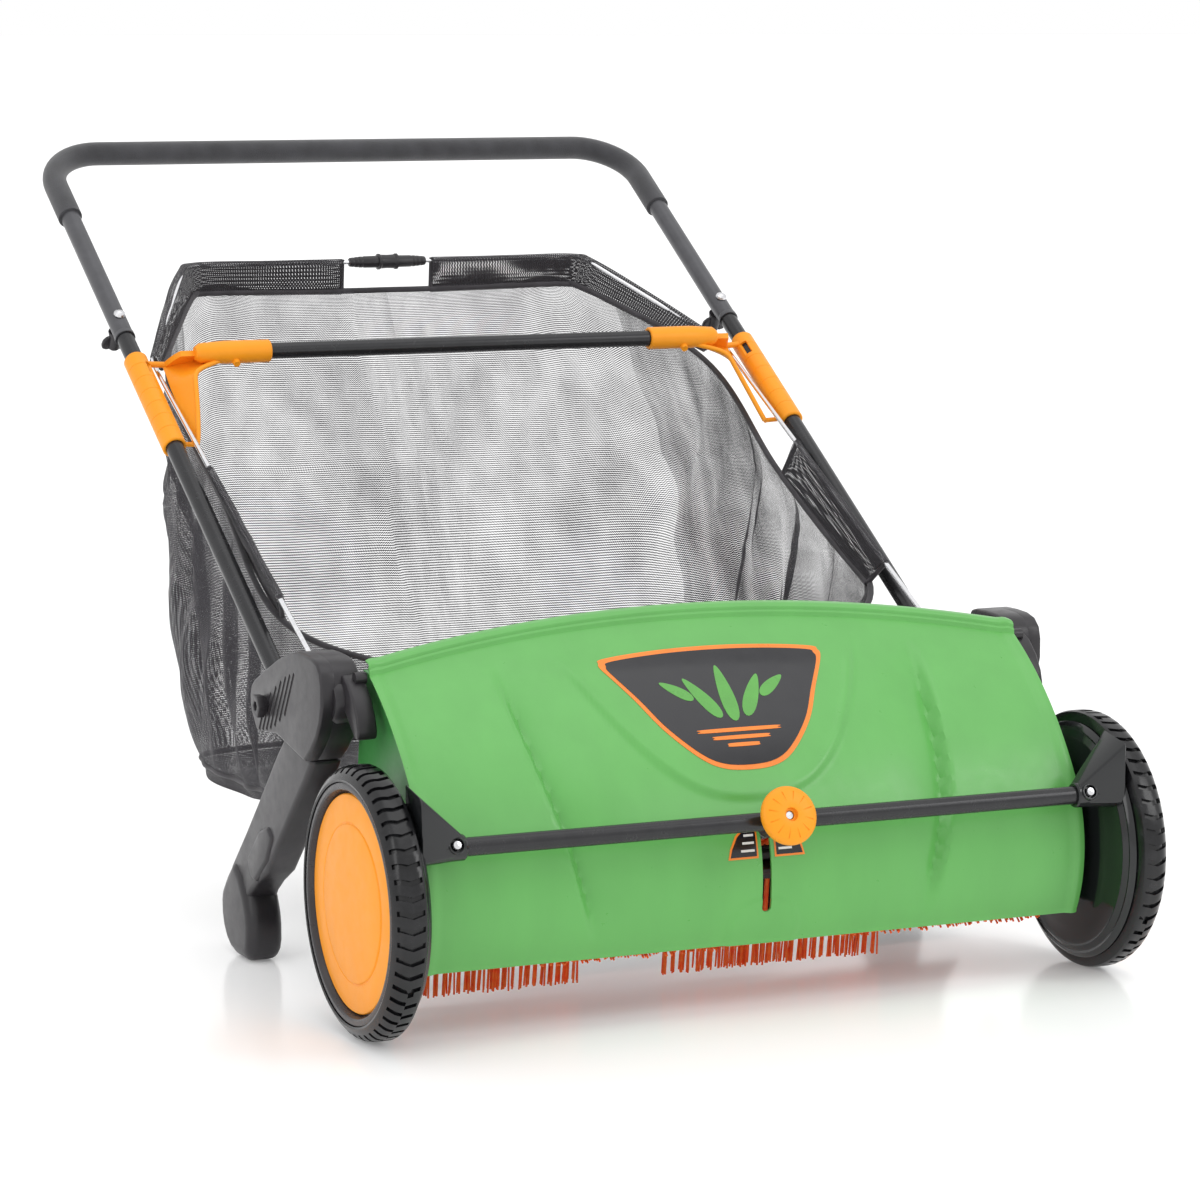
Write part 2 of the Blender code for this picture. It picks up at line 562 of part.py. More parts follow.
# ---------------------------------------------------------------- wheels and brush
def wheels():
    outer, inner = WHEEL_OUTER_X, WHEEL_INNER_X
    web_in, web_out = inner + 0.0165, inner + 0.0205
    bore, hub = SHAFT_RADIUS + GAP, SHAFT_RADIUS + 0.0065
    bead, ring_step = SEAT_RADIUS - GAP, CAP_RADIUS - 0.0285
    tyre = [(inner, SEAT_RADIUS), (inner, SEAT_RADIUS + 0.0095), (inner + 0.003, WHEEL_RADIUS - 0.0006),
            (inner + 0.007, WHEEL_RADIUS), (outer - 0.012, WHEEL_RADIUS),
            (outer - 0.005, WHEEL_RADIUS - 0.0025), (outer - 0.001, WHEEL_RADIUS - 0.008),
            (outer, WHEEL_RADIUS - 0.0130), (outer - 0.0005, SEAT_RADIUS)]
    rim = [(inner + 0.007, bore), (inner + 0.007, hub), (web_in, hub), (web_in, RIM_BORE),
           (inner + 0.0015, RIM_BORE), (inner + 0.0015, bead), (outer - 0.0025, bead),
           (outer - 0.0025, CAP_RADIUS + 0.0008), (web_out, CAP_RADIUS + 0.0008), (web_out, bore)]
    cap = [(web_out + 0.001, 0.0), (web_out + 0.001, CAP_RADIUS), (outer - 0.007, CAP_RADIUS),
           (outer - 0.006, CAP_RADIUS - 0.002), (outer - 0.0055, ring_step + 0.001),
           (outer - 0.0040, ring_step - 0.001), (outer - 0.0030, 0.0)]
    turned_pieces = ((tyre, "tyre", "tyre"), (rim, "wheel_rim", "black"), (cap, "hub_cap", "orange"))
    for side, sign in SIDES:
        for outline, name, finish in turned_pieces:
            mirrored = [(sign * x, r) for x, r in outline]
            place(turned(mirrored, (0, *AXLE), steps=WHEEL_STEPS), f"{side}_{name}", finish)
        low = inner + 0.005
        teeth = tooth_outline(AXLE, RING_TEETH, RING_PITCH - 0.0016, RING_PITCH + 0.0024, math.pi / RING_TEETH)
        edges = sorted((sign * low, sign * (low + GEAR_WIDTH)))
        ring = slab([ring_points(AXLE, RING_OUTER, WHEEL_STEPS), teeth], *edges, centre=AXLE)
        place(ring, f"{side}_ring_gear", "black")
        teeth = tooth_outline(BRUSH, PINION_TEETH, PINION_PITCH + 0.0018, PINION_PITCH - 0.0024, 0.0)
        bore = ring_points(BRUSH, SHAFT_RADIUS + GAP, 20)
        edges = sorted((sign * (low - 0.001), sign * (low + GEAR_WIDTH - 0.0015)))
        pinion = slab([teeth, bore], *edges, centre=BRUSH)
        place(pinion, f"{side}_pinion", "steel")


def brush():
    half = WHEEL_INNER_X + 0.0145
    shaft = cylinder((-half, *BRUSH), (half, *BRUSH), SHAFT_RADIUS)
    place(smooth(shaft), "brush_shaft", "steel")
    ends = BRUSH_HALF + 0.002
    core = [(-ends, SHAFT_RADIUS + GAP), (-ends, CORE_RADIUS), (ends, CORE_RADIUS), (ends, SHAFT_RADIUS + GAP)]
    place(turned(core, (0, *BRUSH), steps=18), "brush_core", "black")
    rail = CORE_RADIUS + 0.012
    low = CORE_RADIUS + GAP
    last = BRUSH_HALF - 0.002
    for row in range(BRUSH_ROWS):
        tufts = ((-0.215, -0.005), (0.095, last)) if row % 2 else ((-last, -0.128), (-0.040, 0.195))
        top = [(-BRUSH_HALF, rail)]
        for start, end in tufts:
            top += [(start, rail), (start, BRUSH_RADIUS), (end, BRUSH_RADIUS), (end, rail)]
        outline = [(-BRUSH_HALF, low)] + top + [(BRUSH_HALF, rail), (BRUSH_HALF, low)]
        bm = bmesh.new()
        base = [bm.verts.new((x, -ROW_THICKNESS / 2, r)) for x, r in outline]
        face = bm.faces.new(base)
        moved = bmesh.ops.extrude_face_region(bm, geom=[face])["geom"]
        for vert in (v for v in moved if isinstance(v, bmesh.types.BMVert)):
            vert.co.y += ROW_THICKNESS
        bmesh.ops.recalc_face_normals(bm, faces=bm.faces)
        angle = math.pi + math.radians(BRUSH_LEAN) + 2 * math.pi * row / BRUSH_ROWS
        blade = from_bmesh(bm, (0, *BRUSH), (angle, 0, 0))
        place(blade, f"brush_row_{row + 1}", "bristle")


# ---------------------------------------------------------------- handle
def handle_tubes():
    for side, sign in SIDES:
        x = sign * TUBE_X
        low, high = on_handle(x, -TUBE_TAIL), on_handle(x, BOLT_ALONG + 0.030)
        tube = pipe([low, high], LOWER_TUBE_RADIUS, wall=LOWER_TUBE_WALL, origin=(x, *PIVOT))
        bolt = on_handle(x, BOLT_ALONG)
        reach = HANDLE_NORMAL * 0.03
        cut(tube, cylinder((x - 0.02, *PIVOT), (x + 0.02, *PIVOT), PIVOT_BOLT_RADIUS + GAP),
            cylinder(bolt - reach, bolt + reach, HANDLE_BOLT_RADIUS + GAP))
        place(smooth(tube), f"{side}_lower_tube", "tube")
        turn = HANDLE_NORMAL.to_track_quat("Z", "Y").to_euler()
        clear = UPPER_TUBE_RADIUS + 0.0006
        bolt_end = UPPER_TUBE_RADIUS + 0.0195
        nut_bore, nut_floor = HANDLE_BOLT_RADIUS + GAP, -bolt_end - 0.0002
        shape = [(-bolt_end, 0.0), (-bolt_end, HANDLE_BOLT_RADIUS), (clear, HANDLE_BOLT_RADIUS),
                 (clear, 0.0065), (clear + 0.002, 0.0058), (clear + 0.0035, 0.003), (clear + 0.004, 0.0)]
        place(turned(shape, bolt, turn, steps=12), f"{side}_handle_bolt", "steel")
        wing = [(-bolt_end - 0.004, 0.0), (-bolt_end - 0.004, 0.006), (-clear - 0.001, 0.008),
                (-clear - 0.001, nut_bore), (nut_floor, nut_bore), (nut_floor, 0.0)]
        nut = turned(wing, bolt, turn, steps=14)
        blade = box((-0.014, -0.0022, -bolt_end - 0.003), (0.014, 0.0022, -clear - 0.006))
        blade.rotation_euler = turn
        blade.location = bolt + HANDLE_NORMAL * blade.location.z
        join(nut, blade)
        cut(nut, cylinder(bolt + HANDLE_NORMAL * nut_floor, bolt, nut_bore))
        place(nut, f"{side}_wing_knob", "black")
        bolt_low, knob_low = -LOWER_TUBE_RADIUS - 0.0025, BRACKET_OUTER_X - TUBE_X + GAP
        knob_high = knob_low - GAP + 0.0095
        knob = [(bolt_low, 0.0), (bolt_low, PIVOT_BOLT_RADIUS), (knob_low, PIVOT_BOLT_RADIUS),
                (knob_low, 0.0105), (knob_high - 0.001, 0.0105), (knob_high, 0.0095), (knob_high, 0.0)]
        knob = [(sign * a, r) for a, r in knob]
        place(turned(knob, (x, *PIVOT), steps=12), f"{side}_hex_knob", "black")


def handle_route(low):
    """The upper handle from one leg over the bar to the other, starting low on each leg."""
    corner = math.pi / 2
    steps = 5
    route = [on_handle(-TUBE_X, low)]
    for i in range(steps + 1):
        a = corner * i / steps
        route.append(on_handle(-TUBE_X + BEND_RADIUS * (1 - math.cos(a)),
                               BAR_ALONG - BEND_RADIUS + BEND_RADIUS * math.sin(a)))
    return route + [Vector((-p.x, p.y, p.z)) for p in reversed(route)]


def upper_handle():
    tube = pipe(handle_route(COLLAR_ALONG), UPPER_TUBE_RADIUS, wall=TUBE_WALL)
    for side, sign in SIDES:
        bolt = on_handle(sign * TUBE_X, BOLT_ALONG)
        reach = HANDLE_NORMAL * 0.03
        cut(tube, cylinder(bolt - reach, bolt + reach, HANDLE_BOLT_RADIUS + GAP))
    place(smooth(tube), "upper_handle", "tube")
    grip = pipe(handle_route(GRIP_ALONG), GRIP_RADIUS, wall=GRIP_RADIUS - UPPER_TUBE_RADIUS - GAP)
    place(smooth(grip), "handle_grip", "foam")


def cross_bar():
    ends = SOCKET_X + 0.070
    low, high = on_handle(-ends, CROSS_ALONG, CROSS_ABOVE), on_handle(ends, CROSS_ALONG, CROSS_ABOVE)
    place(smooth(pipe([low, high], CROSS_RADIUS, wall=0.001)), "cross_bar", "tube")
    for side, sign in SIDES:
        x = sign * TUBE_X
        origin = on_handle(x, CROSS_ALONG)
        sleeve = cylinder(on_handle(x, SLEEVE_LOW), on_handle(x, SLEEVE_HIGH), SLEEVE_RADIUS)
        socket = cylinder(on_handle(sign * SOCKET_X, CROSS_ALONG, CROSS_ABOVE),
                          on_handle(sign * (SOCKET_X + 0.082), CROSS_ALONG, CROSS_ABOVE),
                          CROSS_SOCKET_RADIUS)
        corners = ((TUBE_X, SLEEVE_HIGH - 0.004, 0.007), (TUBE_X, SLEEVE_LOW + 0.012, 0.007),
                   (SOCKET_X + 0.078, CROSS_ALONG + 0.010, CROSS_ABOVE - 0.002),
                   (SOCKET_X + 0.078, CROSS_ALONG - 0.020, CROSS_ABOVE - 0.002))
        plate = [on_handle(sign * px, along, above + lift) for px, along, above in corners
                 for lift in (-0.0035, 0.0035)]
        bracket = join(sleeve, socket, hull(plate, origin))
        cut(bracket, cylinder(on_handle(x, SLEEVE_LOW - 0.01), on_handle(x, SLEEVE_HIGH + 0.01),
                              LOWER_TUBE_RADIUS + GAP, 24),
            cylinder(on_handle(sign * (SOCKET_X - 0.01), CROSS_ALONG, CROSS_ABOVE),
                     on_handle(sign * (ends + 0.0006), CROSS_ALONG, CROSS_ABOVE), CROSS_RADIUS + GAP, 24))
        place(smooth(bracket), f"{side}_corner_bracket", "orange")


# ---------------------------------------------------------------- bag
def bag_frame():
    for side, sign in SIDES:
        route = [on_bag_frame(sign * BAG_ROD_X, 0.0), on_bag_frame(sign * BAG_ROD_X, BAG_BEND_ALONG),
                 on_bag_frame(sign * BAG_CORNER_X, BAG_TOP_ALONG - 0.012),
                 on_bag_frame(sign * (BAG_CORNER_X - 0.014), BAG_TOP_ALONG),
                 on_bag_frame(sign * 0.004, BAG_TOP_ALONG)]
        place(smooth(pipe(route, BAG_ROD_RADIUS, resolution=2)), f"{side}_bag_rod", "steel")
    half = [(0.010, 0.0055), (0.012, 0.004), (0.030, 0.004), (CLASP_HALF, 0.0025), (CLASP_HALF, GAP)]
    half = [(x, BAG_ROD_RADIUS + wall) for x, wall in half]
    clasp = [(-x, r) for x, r in reversed(half)] + half
    centre = on_bag_frame(0, BAG_TOP_ALONG)
    place(turned(clasp, centre, steps=12), "bag_clasp", "black")


def bag():
    """The fabric bag as one open shell: the mouth follows the frame and the body hangs below it."""
    below = -(BAG_ROD_RADIUS + GAP + 0.0006)
    side_x = BAG_ROD_X - 0.004
    notch = CLASP_HALF + 0.006
    mouth = [on_bag_frame(0, BAG_TOP_ALONG - 0.024, below), on_bag_frame(notch, BAG_TOP_ALONG - 0.024, below),
             on_bag_frame(notch + 0.006, BAG_TOP_ALONG - 0.006, below),
             on_bag_frame(BAG_CORNER_X - 0.010, BAG_TOP_ALONG - 0.006, below),
             on_bag_frame(side_x - 0.002, BAG_BEND_ALONG - 0.004, below),
             on_bag_frame(side_x, 0.380, below), on_bag_frame(side_x, 0.150, below)]
    mouth += [Vector((x, *yz)) for x, yz in zip((0.200, 0.0), axle_frame([(0.290, 0.163), (0.285, 0.128)]))]
    middle = axle_frame([(0.805, 0.273), (0.805, 0.273), (0.805, 0.273), (0.795, 0.273), (0.700, 0.253),
                         (0.530, 0.203), (0.380, 0.148), (0.318, 0.111), (0.310, 0.088)])
    middle_x = (0.0, notch, notch + 0.008, BAG_CORNER_X + 0.013, side_x - 0.008, side_x - 0.005,
                side_x - 0.008, 0.200, 0.0)
    middle = [Vector((x, *yz)) for x, yz in zip(middle_x, middle)]
    floor = axle_frame([(0.680, 0.015), (0.680, 0.015), (0.680, 0.015), (0.680, 0.015), (0.655, 0.011),
                        (0.530, 0.009), (0.430, 0.018), (0.375, 0.033), (0.365, 0.038)])
    floor_x = (0.0, notch, notch + 0.008, BAG_CORNER_X + 0.005, side_x - 0.011, side_x - 0.013,
               side_x - 0.018, 0.200, 0.0)
    floor = [Vector((x, *yz)) for x, yz in zip(floor_x, floor)]
    bm = bmesh.new()
    loops = []
    for half in (mouth, middle, floor):
        mirrored = [Vector((-p.x, p.y, p.z)) for p in half[-2:0:-1]]
        loops.append([bm.verts.new(p) for p in half + mirrored])
    for upper, lower in zip(loops, loops[1:]):
        for i in range(len(upper)):
            j = (i + 1) % len(upper)
            bm.faces.new((upper[i], upper[j], lower[j], lower[i]))
    last, count = loops[-1], len(loops[-1])
    for i in range(len(mouth) - 1):
        quad = [last[i], last[i + 1], last[(count - i - 1) % count], last[(count - i) % count]]
        bm.faces.new(list(dict.fromkeys(quad)))
    bmesh.ops.recalc_face_normals(bm, faces=bm.faces)
    shell = from_bmesh(bm)
    solidify = shell.modifiers.new("wall", "SOLIDIFY")
    solidify.thickness = BAG_WALL
    solidify.offset = -1.0
    place(smooth(shell), "bag", "mesh")


front_cover()
end_panels()
side_brackets()
rear_ramp()
wheel_covers()
height_rod()
wheels()
brush()
handle_tubes()
upper_handle()
cross_bar()
bag_frame()
bag()
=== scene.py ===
"""Looks of the push lawn sweeper: moulded cover, treaded wheels, tube handle and mesh bag."""
import json
import math
import random

import bmesh
import bpy
from mathutils import Matrix, Vector, noise


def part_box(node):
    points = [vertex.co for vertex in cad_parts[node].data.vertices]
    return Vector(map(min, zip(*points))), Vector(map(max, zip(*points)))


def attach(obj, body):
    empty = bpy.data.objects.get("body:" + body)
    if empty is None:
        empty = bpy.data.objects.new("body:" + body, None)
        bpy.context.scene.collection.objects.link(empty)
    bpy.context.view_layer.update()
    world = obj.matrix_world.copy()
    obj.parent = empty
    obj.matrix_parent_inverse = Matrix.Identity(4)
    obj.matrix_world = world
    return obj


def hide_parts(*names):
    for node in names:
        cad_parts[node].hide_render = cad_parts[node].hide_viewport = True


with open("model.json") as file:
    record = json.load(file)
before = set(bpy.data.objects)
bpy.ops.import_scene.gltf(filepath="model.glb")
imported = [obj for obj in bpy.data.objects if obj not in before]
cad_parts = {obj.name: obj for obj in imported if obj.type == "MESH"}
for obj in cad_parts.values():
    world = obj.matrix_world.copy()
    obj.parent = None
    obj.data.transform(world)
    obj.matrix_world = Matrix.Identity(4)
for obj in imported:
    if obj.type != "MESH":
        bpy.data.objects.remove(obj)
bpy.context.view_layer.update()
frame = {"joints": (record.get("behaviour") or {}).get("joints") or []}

# ---------------------------------------------------------------- places taken from the frame
LEFT_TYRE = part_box("left_tyre")
AXLE_Y = (LEFT_TYRE[0].y + LEFT_TYRE[1].y) / 2
WHEEL_RADIUS = LEFT_TYRE[1].z / 2
AXLE = (AXLE_Y, WHEEL_RADIUS)
WHEEL_OUTER_X = -LEFT_TYRE[0].x
WHEEL_INNER_X = -LEFT_TYRE[1].x
TYRE_DEPTH = 0.0152


def middle(node):
    low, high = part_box(node)
    return (low + high) / 2


BRUSH = (middle("brush_shaft").y, middle("brush_shaft").z)
ROD = (middle("height_rod").y, middle("height_rod").z)
ROD_RADIUS = (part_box("height_rod")[1].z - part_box("height_rod")[0].z) / 2
ROD_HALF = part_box("height_rod")[1].x
ROD_OUTWARD = Vector((0.0, ROD[0] - BRUSH[0], ROD[1] - BRUSH[1])).normalized()
PIVOT = next((j["pos_m"][1], j["pos_m"][2]) for j in frame["joints"] if j["name"] == "handle_fold")
SIDES = (("left", -1), ("right", 1))

# handle and bag frame, as distances along them from their lower ends
HANDLE_ANGLE = math.radians(32.0)
HANDLE = Vector((0.0, math.cos(HANDLE_ANGLE), math.sin(HANDLE_ANGLE)))
HANDLE_UP = Vector((0.0, -HANDLE.z, HANDLE.y))
TUBE_X = 0.3575
LOWER_TUBE_RADIUS, UPPER_TUBE_RADIUS = 0.0095, 0.0105
TUBE_TAIL, COLLAR_ALONG, BOLT_ALONG, GRIP_ALONG, BAR_ALONG = 0.022, 0.603, 0.632, 0.830, 0.956
BEND_RADIUS, GRIP_RADIUS = 0.065, 0.0133
SLEEVE_LOW, SLEEVE_HIGH, SLEEVE_RADIUS = 0.410, 0.564, 0.0128
CROSS_ALONG, CROSS_ABOVE, CROSS_RADIUS, SOCKET_X = 0.532, 0.030, 0.00875, 0.222
BAG_ANGLE = math.radians(27.2)
BAG_FRAME = Vector((0.0, math.cos(BAG_ANGLE), math.sin(BAG_ANGLE)))
BAG_UP = Vector((0.0, -BAG_FRAME.z, BAG_FRAME.y))
BAG_LOW = (PIVOT[0] - 0.047, PIVOT[1] + 0.0225)
BAG_ROD_RADIUS, BAG_ROD_X, BAG_CORNER_X = 0.0025, 0.337, 0.245
BAG_BEND_ALONG, BAG_TOP_ALONG, CLASP_HALF = 0.600, 0.795, 0.046

# cover
COVER_HALF, COVER_RADIUS, COVER_WALL = 0.343, 0.137, 0.003
COVER_LOW, COVER_TURN = math.radians(-27.0), math.radians(31.0)
COVER_TOP_RADIUS, COVER_TOP_SLOPE = 0.36, math.radians(31.0)
COVER_BOW = 0.032
FRONT_LENGTH = COVER_RADIUS * (COVER_TURN - COVER_LOW)
TOP_START = math.pi / 2 - COVER_TURN
TOP_LENGTH = COVER_TOP_RADIUS * (TOP_START - COVER_TOP_SLOPE)
COVER_LENGTH = FRONT_LENGTH + TOP_LENGTH


def on_handle(x, along, above=0.0):
    return Vector((x, *PIVOT)) + along * HANDLE + above * HANDLE_UP


def on_bag_frame(x, along, above=0.0):
    return Vector((x, *BAG_LOW)) + along * BAG_FRAME + above * BAG_UP


def behind_axle(x, y, z):
    """A point given by its distance behind the wheel axle and its height over the ground."""
    return Vector((x, AXLE_Y + y, z))


# ---------------------------------------------------------------- camera, light and floor
def camera_and_light():
    eye = bpy.data.cameras.new("camera")
    eye.lens = 126.1
    eye.sensor_width = 36.0
    camera = bpy.data.objects.new("camera", eye)
    camera.location = (-1.7204, AXLE_Y - 3.5318, 0.923)
    camera.rotation_euler = (math.radians(90.0 - 7.799), 0.0, math.radians(-24.017))
    bpy.context.collection.objects.link(camera)
    bpy.context.scene.camera = camera
    bpy.context.scene.view_settings.view_transform = "Standard"

    world = bpy.data.worlds.new("studio")
    world.use_nodes = True
    sky = world.node_tree.nodes["Background"]
    sky.inputs["Color"].default_value = (1.0, 1.0, 1.0, 1.0)
    sky.inputs["Strength"].default_value = 1.0
    bpy.context.scene.world = world

    def lamp(name, kind, energy, location, target, size):
        light = bpy.data.lights.new(name, kind)
        light.energy = energy
        if kind == "AREA":
            light.shape = "RECTANGLE"
            light.size, light.size_y = size
        else:
            light.angle = size
        holder = bpy.data.objects.new(name, light)
        holder.location = location
        holder.rotation_euler = (Vector(target) - Vector(location)).to_track_quat("-Z", "Y").to_euler()
        bpy.context.collection.objects.link(holder)

    lamp("key", "AREA", 30.0, (2.6, -3.0, 2.6), (0.0, -0.2, 0.3), (1.2, 2.2))
    lamp("fill", "AREA", 16.0, (-3.4, -1.8, 2.2), (0.0, -0.1, 0.3), (1.0, 2.4))
    lamp("top", "SUN", 0.45, (0.3, -0.6, 4.0), (0.0, 0.0, 0.0), math.radians(50.0))


def floor():
    deselect()
    bpy.ops.mesh.primitive_plane_add(size=600.0, location=(0.0, 0.0, 0.0))
    ground = add("floor")
    look, shader = principled("floor_white", (0.97, 0.97, 0.97), 0.16)
    shader.inputs["Specular IOR Level"].default_value = 0.30
    shader.inputs["Emission Color"].default_value = (1.0, 1.0, 1.0, 1.0)
    shader.inputs["Emission Strength"].default_value = 0.16
    ground.data.materials.append(look)


# ---------------------------------------------------------------- modelling tools
def deselect():
    if bpy.context.object and bpy.context.object.mode != "OBJECT":
        bpy.ops.object.mode_set(mode="OBJECT")
    bpy.ops.object.select_all(action="DESELECT")


def choose(*pieces):
    """Select only these pieces; the first is active."""
    deselect()
    for piece in pieces:
        piece.select_set(True)
    bpy.context.view_layer.objects.active = pieces[0]


def add(name):
    """Name the object that an operator has just added."""
    piece = bpy.context.object
    piece.name = piece.data.name = name
    return piece


def edit(piece, kind="VERT"):
    """Open a piece in edit mode with all of it selected."""
    choose(piece)
    bpy.ops.object.mode_set(mode="EDIT")
    bpy.ops.mesh.select_mode(type=kind)
    bpy.ops.mesh.select_all(action="SELECT")


def done():
    bpy.ops.object.mode_set(mode="OBJECT")


def pick(piece, test):
    """In edit mode, select only the faces whose centre and normal pass the test."""
    shape = bmesh.from_edit_mesh(piece.data)
    for face in shape.faces:
        face.select_set(bool(test(face.calc_center_median(), face.normal)))
    bmesh.update_edit_mesh(piece.data)


def close_up(piece):
    """Merge doubles and turn every face outwards."""
    edit(piece)
    bpy.ops.mesh.remove_doubles(threshold=0.00001)
    bpy.ops.mesh.delete_loose()
    bpy.ops.mesh.select_all(action="SELECT")
    bpy.ops.mesh.normals_make_consistent(inside=False)
    done()
    return piece


def apply(piece, modifier):
    choose(piece)
    bpy.ops.object.modifier_apply(modifier=modifier.name)
    return piece


def round_edges(piece, width, segments=2, angle=30.0):
    bevel = piece.modifiers.new("round", "BEVEL")
    bevel.width = width
    bevel.segments = segments
    bevel.limit_method = "ANGLE"
    bevel.angle_limit = math.radians(angle)
    bevel.harden_normals = False
    return apply(piece, bevel)


def thicken(piece, thickness, offset=-1.0):
    wall = piece.modifiers.new("wall", "SOLIDIFY")
    wall.thickness = thickness
    wall.offset = offset
    wall.use_even_offset = True
    return apply(piece, wall)


def boolean(piece, tool, operation):
    modifier = piece.modifiers.new(operation.lower(), "BOOLEAN")
    modifier.operation = operation
    modifier.object = tool
    apply(piece, modifier)
    bpy.data.objects.remove(tool, do_unlink=True)
    return piece


def cut(piece, *tools):
    for tool in tools:
        boolean(piece, tool, "DIFFERENCE")
    return piece


def merge(name, *pieces):
    """Join pieces into one object; their shells may overlap."""
    choose(*pieces)
    bpy.ops.object.join()
    return add(name)


def lathe(name, outline, centre, axis=(1.0, 0.0, 0.0), steps=64):
    """Spin a closed outline of (along, radius) points round the axis through centre."""
    axis = Vector(axis).normalized()
    side = Vector((0.0, 0.0, 1.0)) if abs(axis.z) < 0.5 else Vector((0.0, 1.0, 0.0))
    side = (side - side.dot(axis) * axis).normalized()
    centre = Vector(centre)
    deselect()
    bpy.ops.mesh.primitive_circle_add(vertices=len(outline), radius=1.0, fill_type="NOTHING",
                                      location=(0.0, 0.0, 0.0))
    piece = add(name)
    for vertex, (along, radius) in zip(piece.data.vertices, outline):
        vertex.co = centre + along * axis + radius * side
    edit(piece)
    bpy.ops.mesh.spin(steps=steps, angle=2.0 * math.pi, center=centre, axis=axis)
    done()
    return close_up(piece)


def slab(name, points, depth):
    """A flat outline through points, extruded by the vector depth."""
    deselect()
    bpy.ops.mesh.primitive_circle_add(vertices=len(points), radius=1.0, fill_type="NGON",
                                      location=(0.0, 0.0, 0.0))
    piece = add(name)
    for vertex, point in zip(piece.data.vertices, points):
        vertex.co = point
    edit(piece, "FACE")
    bpy.ops.mesh.extrude_region_move(TRANSFORM_OT_translate={"value": depth})
    done()
    return close_up(piece)


def side_slab(name, outline, x_low, x_high):
    """A slab across X from an outline of (behind the axle, height) points."""
    return slab(name, [behind_axle(x_low, y, z) for y, z in outline], (x_high - x_low, 0.0, 0.0))


def block(name, low, high, bevel=0.0, segments=2):
    low, high = Vector(low), Vector(high)
    deselect()
    bpy.ops.mesh.primitive_cube_add(size=1.0, location=(low + high) / 2)
    piece = add(name)
    piece.scale = high - low
    bpy.ops.object.transform_apply(location=True, rotation=True, scale=True)
    return round_edges(piece, bevel, segments) if bevel else piece


def pole(name, low, high, radius, sides=24):
    """A round bar between two points."""
    low, high = Vector(low), Vector(high)
    deselect()
    bpy.ops.mesh.primitive_cylinder_add(vertices=sides, radius=radius, depth=(high - low).length,
                                        location=(low + high) / 2,
                                        rotation=(high - low).to_track_quat("Z", "Y").to_euler())
    piece = add(name)
    bpy.ops.object.transform_apply(location=True, rotation=True, scale=True)
    return piece


def bent_bar(name, points, radius, sides=32, closed=False):
    """A round bar that follows points."""
    curve = bpy.data.curves.new(name, "CURVE")
    curve.dimensions = "3D"
    curve.bevel_depth = radius
    curve.bevel_resolution = sides // 2 - 2
    curve.use_fill_caps = not closed
    spline = curve.splines.new("POLY")
    spline.points.add(len(points) - 1)
    for point, place in zip(spline.points, points):
        point.co = (*place, 1.0)
    spline.use_cyclic_u = closed
    holder = bpy.data.objects.new(name, curve)
    bpy.context.collection.objects.link(holder)
    choose(holder)
    bpy.ops.object.convert(target="MESH")
    return close_up(add(name))


def surface(name, columns, rows, point_at, weld=False):
    """A grid whose point at (u, v), each from 0 to 1, is put where point_at says."""
    deselect()
    bpy.ops.mesh.primitive_grid_add(x_subdivisions=columns, y_subdivisions=rows, size=1.0,
                                    location=(0.0, 0.0, 0.0))
    piece = add(name)
    for vertex in piece.data.vertices:
        vertex.co = point_at(vertex.co.x + 0.5, vertex.co.y + 0.5)
    if weld:
        edit(piece)
        bpy.ops.mesh.remove_doubles(threshold=0.00001)
        done()
    return piece


def stretch_uv(piece, width, height):
    """Give the piece's grid map its real size in metres, for weaves."""
    for loop in piece.data.uv_layers.active.data:
        loop.uv = (loop.uv[0] * width, loop.uv[1] * height)


def mirrored(piece, name):
    """A copy of a piece on the machine's other side."""
    choose(piece)
    bpy.ops.object.duplicate(linked=False)
    copy = add(name)
    copy.scale.x = -1.0
    bpy.ops.object.transform_apply(location=True, rotation=True, scale=True)
    return close_up(copy)


def fit(piece, body, looks, nodes=(), smooth=35.0):
    """Finish a piece: its looks, its shading, the body it rides on and the nodes it stands for."""
    looks = looks if isinstance(looks, (list, tuple)) else [looks]
    if len(looks) != len(piece.data.materials):
        piece.data.materials.clear()
        for look in looks:
            piece.data.materials.append(look)
    choose(piece)
    bpy.ops.object.shade_smooth_by_angle(angle=math.radians(smooth))
    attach(piece, body)
    if nodes:
        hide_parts(*nodes)
    return piece


def fit_pair(piece, name, body, looks, node=None, smooth=35.0):
    """Finish a right-hand piece and its mirrored copy; {} in a name stands for the side."""
    copy = mirrored(piece, name.format("left"))
    piece.name = piece.data.name = name.format("right")
    for side, made in (("left", copy), ("right", piece)):
        nodes = [node.format(side)] if node else []
        fit(made, body.format(side), looks, nodes, smooth)
    return copy, piece


def through(a, b, c, d, t):
    """The point at t between b and c on the smooth curve through a, b, c and d."""
    return 0.5 * ((2 * b) + (c - a) * t + (2 * a - 5 * b + 4 * c - d) * t * t
                  + (3 * b - a - 3 * c + d) * t ** 3)


def smooth_curve(points, steps, closed=False):
    """Points along a smooth curve through a few given ones."""
    points = [Vector(p) for p in points]
    count = len(points)
    made = []
    for i in range(count if closed else count - 1):
        if closed:
            a, b, c, d = (points[(i + k) % count] for k in (-1, 0, 1, 2))
        else:
            a, b, c, d = (points[min(max(i + k, 0), count - 1)] for k in (-1, 0, 1, 2))
        made += [through(a, b, c, d, k / steps) for k in range(steps)]
    return made if closed else made + [points[-1]]


def ease(value, low, high):
    """0 below low, 1 above high and smooth between."""
    t = min(max((value - low) / (high - low), 0.0), 1.0)
    return t * t * (3.0 - 2.0 * t)


